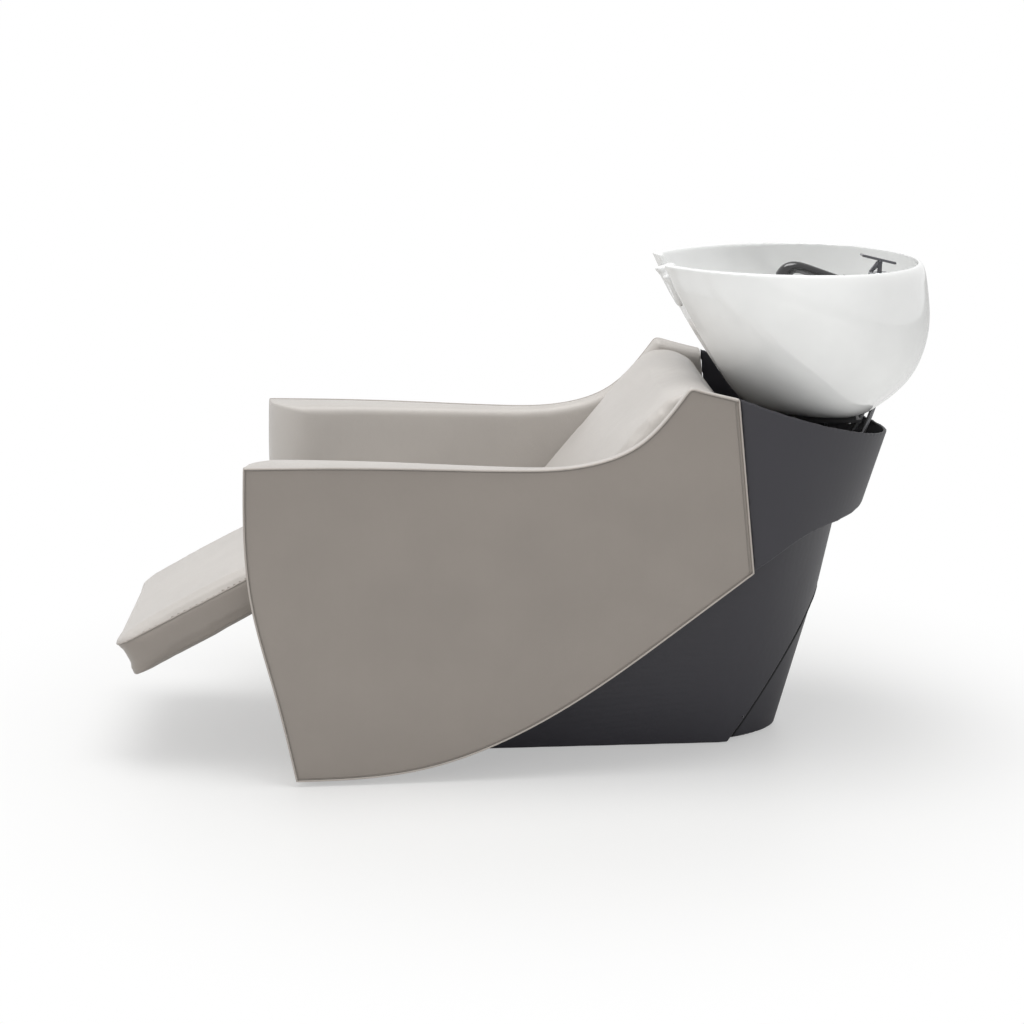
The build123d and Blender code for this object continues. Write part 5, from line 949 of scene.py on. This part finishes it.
# mixer, sprayer and their fittings
for name, source, body, slot_name in (
    ("mixer_column", "mixer_body", "basin", "chrome"),
    ("mixer_head", "mixer_cap", "mixer_cap", "chrome"),
    ("mixer_handle", "mixer_lever", "mixer_lever", "chrome"),
    ("spray_holder", "sprayer_ferrule", "basin", "chrome"),
):
    dress(rounded(name, METAL_VOXEL, METAL_ROUNDS, source), slot_name, body, source)

# the lever and its fin are in chrome darkened by a painted dark reflection
bpy.data.objects["mixer_handle"].data.materials[0] = CHROME_DARK_REFLECTION
fin_mesh = bpy.data.meshes.new("mixer_fin")
fin_points = [(x, y, z) for y in FIN_SIDES for x, z in FIN_OUTLINE]
fin_faces = [(0, 1, 2, 3), (7, 6, 5, 4), (0, 4, 5, 1), (1, 5, 6, 2), (2, 6, 7, 3), (3, 7, 4, 0)]
fin_mesh.from_pydata(fin_points, [], fin_faces)
fin = bpy.data.objects.new("mixer_fin", fin_mesh)
scene.collection.objects.link(fin)
round_off = fin.modifiers.new("round_off", "BEVEL")
round_off.width = FIN_ROUND
round_off.segments = 3
dress(smooth_shade(applied(fin)), "chrome", "mixer_lever")
fin.data.materials[0] = CHROME_DARK_REFLECTION

handle_way = (HANDLE_END[0] - HANDLE[0][0], 0, HANDLE_END[1] - HANDLE[0][1])
sprayer_path = [((x, SPRAY_Y, z), radius, handle_way) for x, z, radius in HANDLE]
sprayer_path += [((x, SPRAY_Y, z), radius, way) for x, z, radius, way in NECK]
sprayer_path += [((x, SPRAY_Y, z), radius, FACE_WAY) for x, z, radius in HEAD]
dress(sweep("hand_sprayer", sprayer_path), "black_gloss", "sprayer", "sprayer")


# hoses from the mixer and the drain, built in place and not tied to a body
def hose(name, route, radius, slot_name):
    """A hose along its route, in its own material; it is not yet tied to a body."""
    line = tube(name, route, radius)
    line.data.materials.append(MATERIALS[slot_name])
    return line


for side, name in ((-1, "hot"), (1, "cold")):
    tail_y = MIXER_Y + side * TAIL_GAP
    route = [
        (0.566, tail_y, 0.786), (0.566, tail_y, 0.736),
        (0.578, side * UPPER_Y, 0.672), (0.566, side * UPPER_Y, 0.630),
        (0.540, side * BEND_Y, 0.575), (0.470, side * MIDDLE_Y, 0.490),
        (0.346, side * LOWER_Y, 0.327), (0.284, side * LOWER_Y, 0.258), (0.284, side * LOWER_Y, 0.196),
    ]
    line = hose(f"{name}_supply", route, SUPPLY_RADIUS, "braided_hose")
    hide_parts(f"{name}_hose")
    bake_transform(line)
route = [(0.470, 0, 0.583), (0.470, 0, 0.540), (0.385, 0, 0.3995), (0.385, 0, 0.335)]
line = hose("drain_line", route, DRAIN_RADIUS, "drain_plastic")
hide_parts("drain_hose")
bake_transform(line)

# camera
camera_data = bpy.data.cameras.new("camera")
camera_data.lens = LENS
camera_data.sensor_width = SENSOR
camera = bpy.data.objects.new("camera", camera_data)
scene.collection.objects.link(camera)
yaw, pitch = math.radians(CAMERA_YAW), math.radians(CAMERA_PITCH)
forward = Vector((math.sin(yaw) * math.cos(pitch), math.cos(yaw) * math.cos(pitch), -math.sin(pitch)))
camera.location = CAMERA_AT
camera.rotation_mode = "QUATERNION"
camera.rotation_quaternion = forward.to_track_quat("-Z", "Y")
scene.camera = camera


# floor: it takes the shadow near the object, and fades to white for the camera alone
def camera_share(tree):
    """How white the floor is for the camera: least near the object, full from FADE_TO on."""
    rays = add_node(tree, "ShaderNodeLightPath")
    spot = add_node(tree, "ShaderNodeTexCoord")
    centred = add_node(tree, "ShaderNodeVectorMath", operation="DISTANCE")
    centred.inputs[1].default_value = FLOOR_CENTRE
    tree.links.new(spot.outputs["Object"], centred.inputs[0])
    fade = add_node(tree, "ShaderNodeMapRange", interpolation_type="SMOOTHSTEP")
    fade.inputs["From Min"].default_value = FADE_FROM
    fade.inputs["From Max"].default_value = FADE_TO
    fade.inputs["To Min"].default_value = FADE_LEAST
    tree.links.new(centred.outputs["Value"], fade.inputs["Value"])
    share = add_node(tree, "ShaderNodeMath", operation="MULTIPLY")
    tree.links.new(rays.outputs["Is Camera Ray"], share.inputs[0])
    tree.links.new(fade.outputs["Result"], share.inputs[1])
    return share.outputs["Value"]


floor_mesh = bpy.data.meshes.new("floor")
floor_mesh.from_pydata(FLOOR_CORNERS, [], [(0, 1, 2, 3)])
floor = bpy.data.objects.new("floor", floor_mesh)
scene.collection.objects.link(floor)
material, tree, shader = node_tree("pale_floor")
shader.inputs["Base Color"].default_value = FLOOR_TONE
shader.inputs["Roughness"].default_value = FLOOR_ROUGH
glow = add_node(tree, "ShaderNodeEmission")
glow.inputs["Color"].default_value = WHITE
faded = add_node(tree, "ShaderNodeMixShader")
tree.links.new(camera_share(tree), faded.inputs["Fac"])
tree.links.new(shader.outputs["BSDF"], faded.inputs[1])
tree.links.new(glow.outputs["Emission"], faded.inputs[2])
tree.links.new(faded.outputs["Shader"], tree.nodes["Material Output"].inputs["Surface"])
floor_mesh.materials.append(material)

# world: white to the camera and in reflections, dimmer as a light
world = bpy.data.worlds.new("studio")
scene.world = world
world.use_nodes = True
tree = world.node_tree
dim = tree.nodes["Background"]
dim.inputs["Color"].default_value = WHITE
dim.inputs["Strength"].default_value = WORLD_LIGHT
bright = add_node(tree, "ShaderNodeBackground")
bright.inputs["Color"].default_value = WHITE
bright.inputs["Strength"].default_value = WORLD_SEEN
rays = add_node(tree, "ShaderNodeLightPath")
either = add_node(tree, "ShaderNodeMath", operation="MAXIMUM")
mix = add_node(tree, "ShaderNodeMixShader")
tree.links.new(rays.outputs["Is Camera Ray"], either.inputs[0])
tree.links.new(rays.outputs["Is Glossy Ray"], either.inputs[1])
tree.links.new(either.outputs["Value"], mix.inputs["Fac"])
tree.links.new(dim.outputs["Background"], mix.inputs[1])
tree.links.new(bright.outputs["Background"], mix.inputs[2])
tree.links.new(mix.outputs["Shader"], tree.nodes["World Output"].inputs["Surface"])


def lamp(name, place, aim, size, power, mirrored=True):
    data = bpy.data.lights.new(name, "AREA")
    data.shape = "RECTANGLE"
    data.size, data.size_y = size
    data.energy = power
    light = bpy.data.objects.new(name, data)
    scene.collection.objects.link(light)
    light.location = place
    light.rotation_mode = "QUATERNION"
    light.rotation_quaternion = (Vector(aim) - Vector(place)).to_track_quat("-Z", "Y")
    light.visible_glossy = mirrored


lamp("overhead", (-0.3, -0.25, 5.5), (-0.1, 0.0, 0.4), (4.4, 2.2), 180.0)
lamp("camera_side", (0.1, -3.4, 0.35), (0.25, 0.0, 0.75), (2.6, 1.0), 20.0, mirrored=False)
lamp("sitter_side", (-3.4, -0.9, 1.0), (0.2, 0.0, 0.6), (2.4, 1.6), 14.0, mirrored=False)
scene.view_settings.view_transform = "Standard"
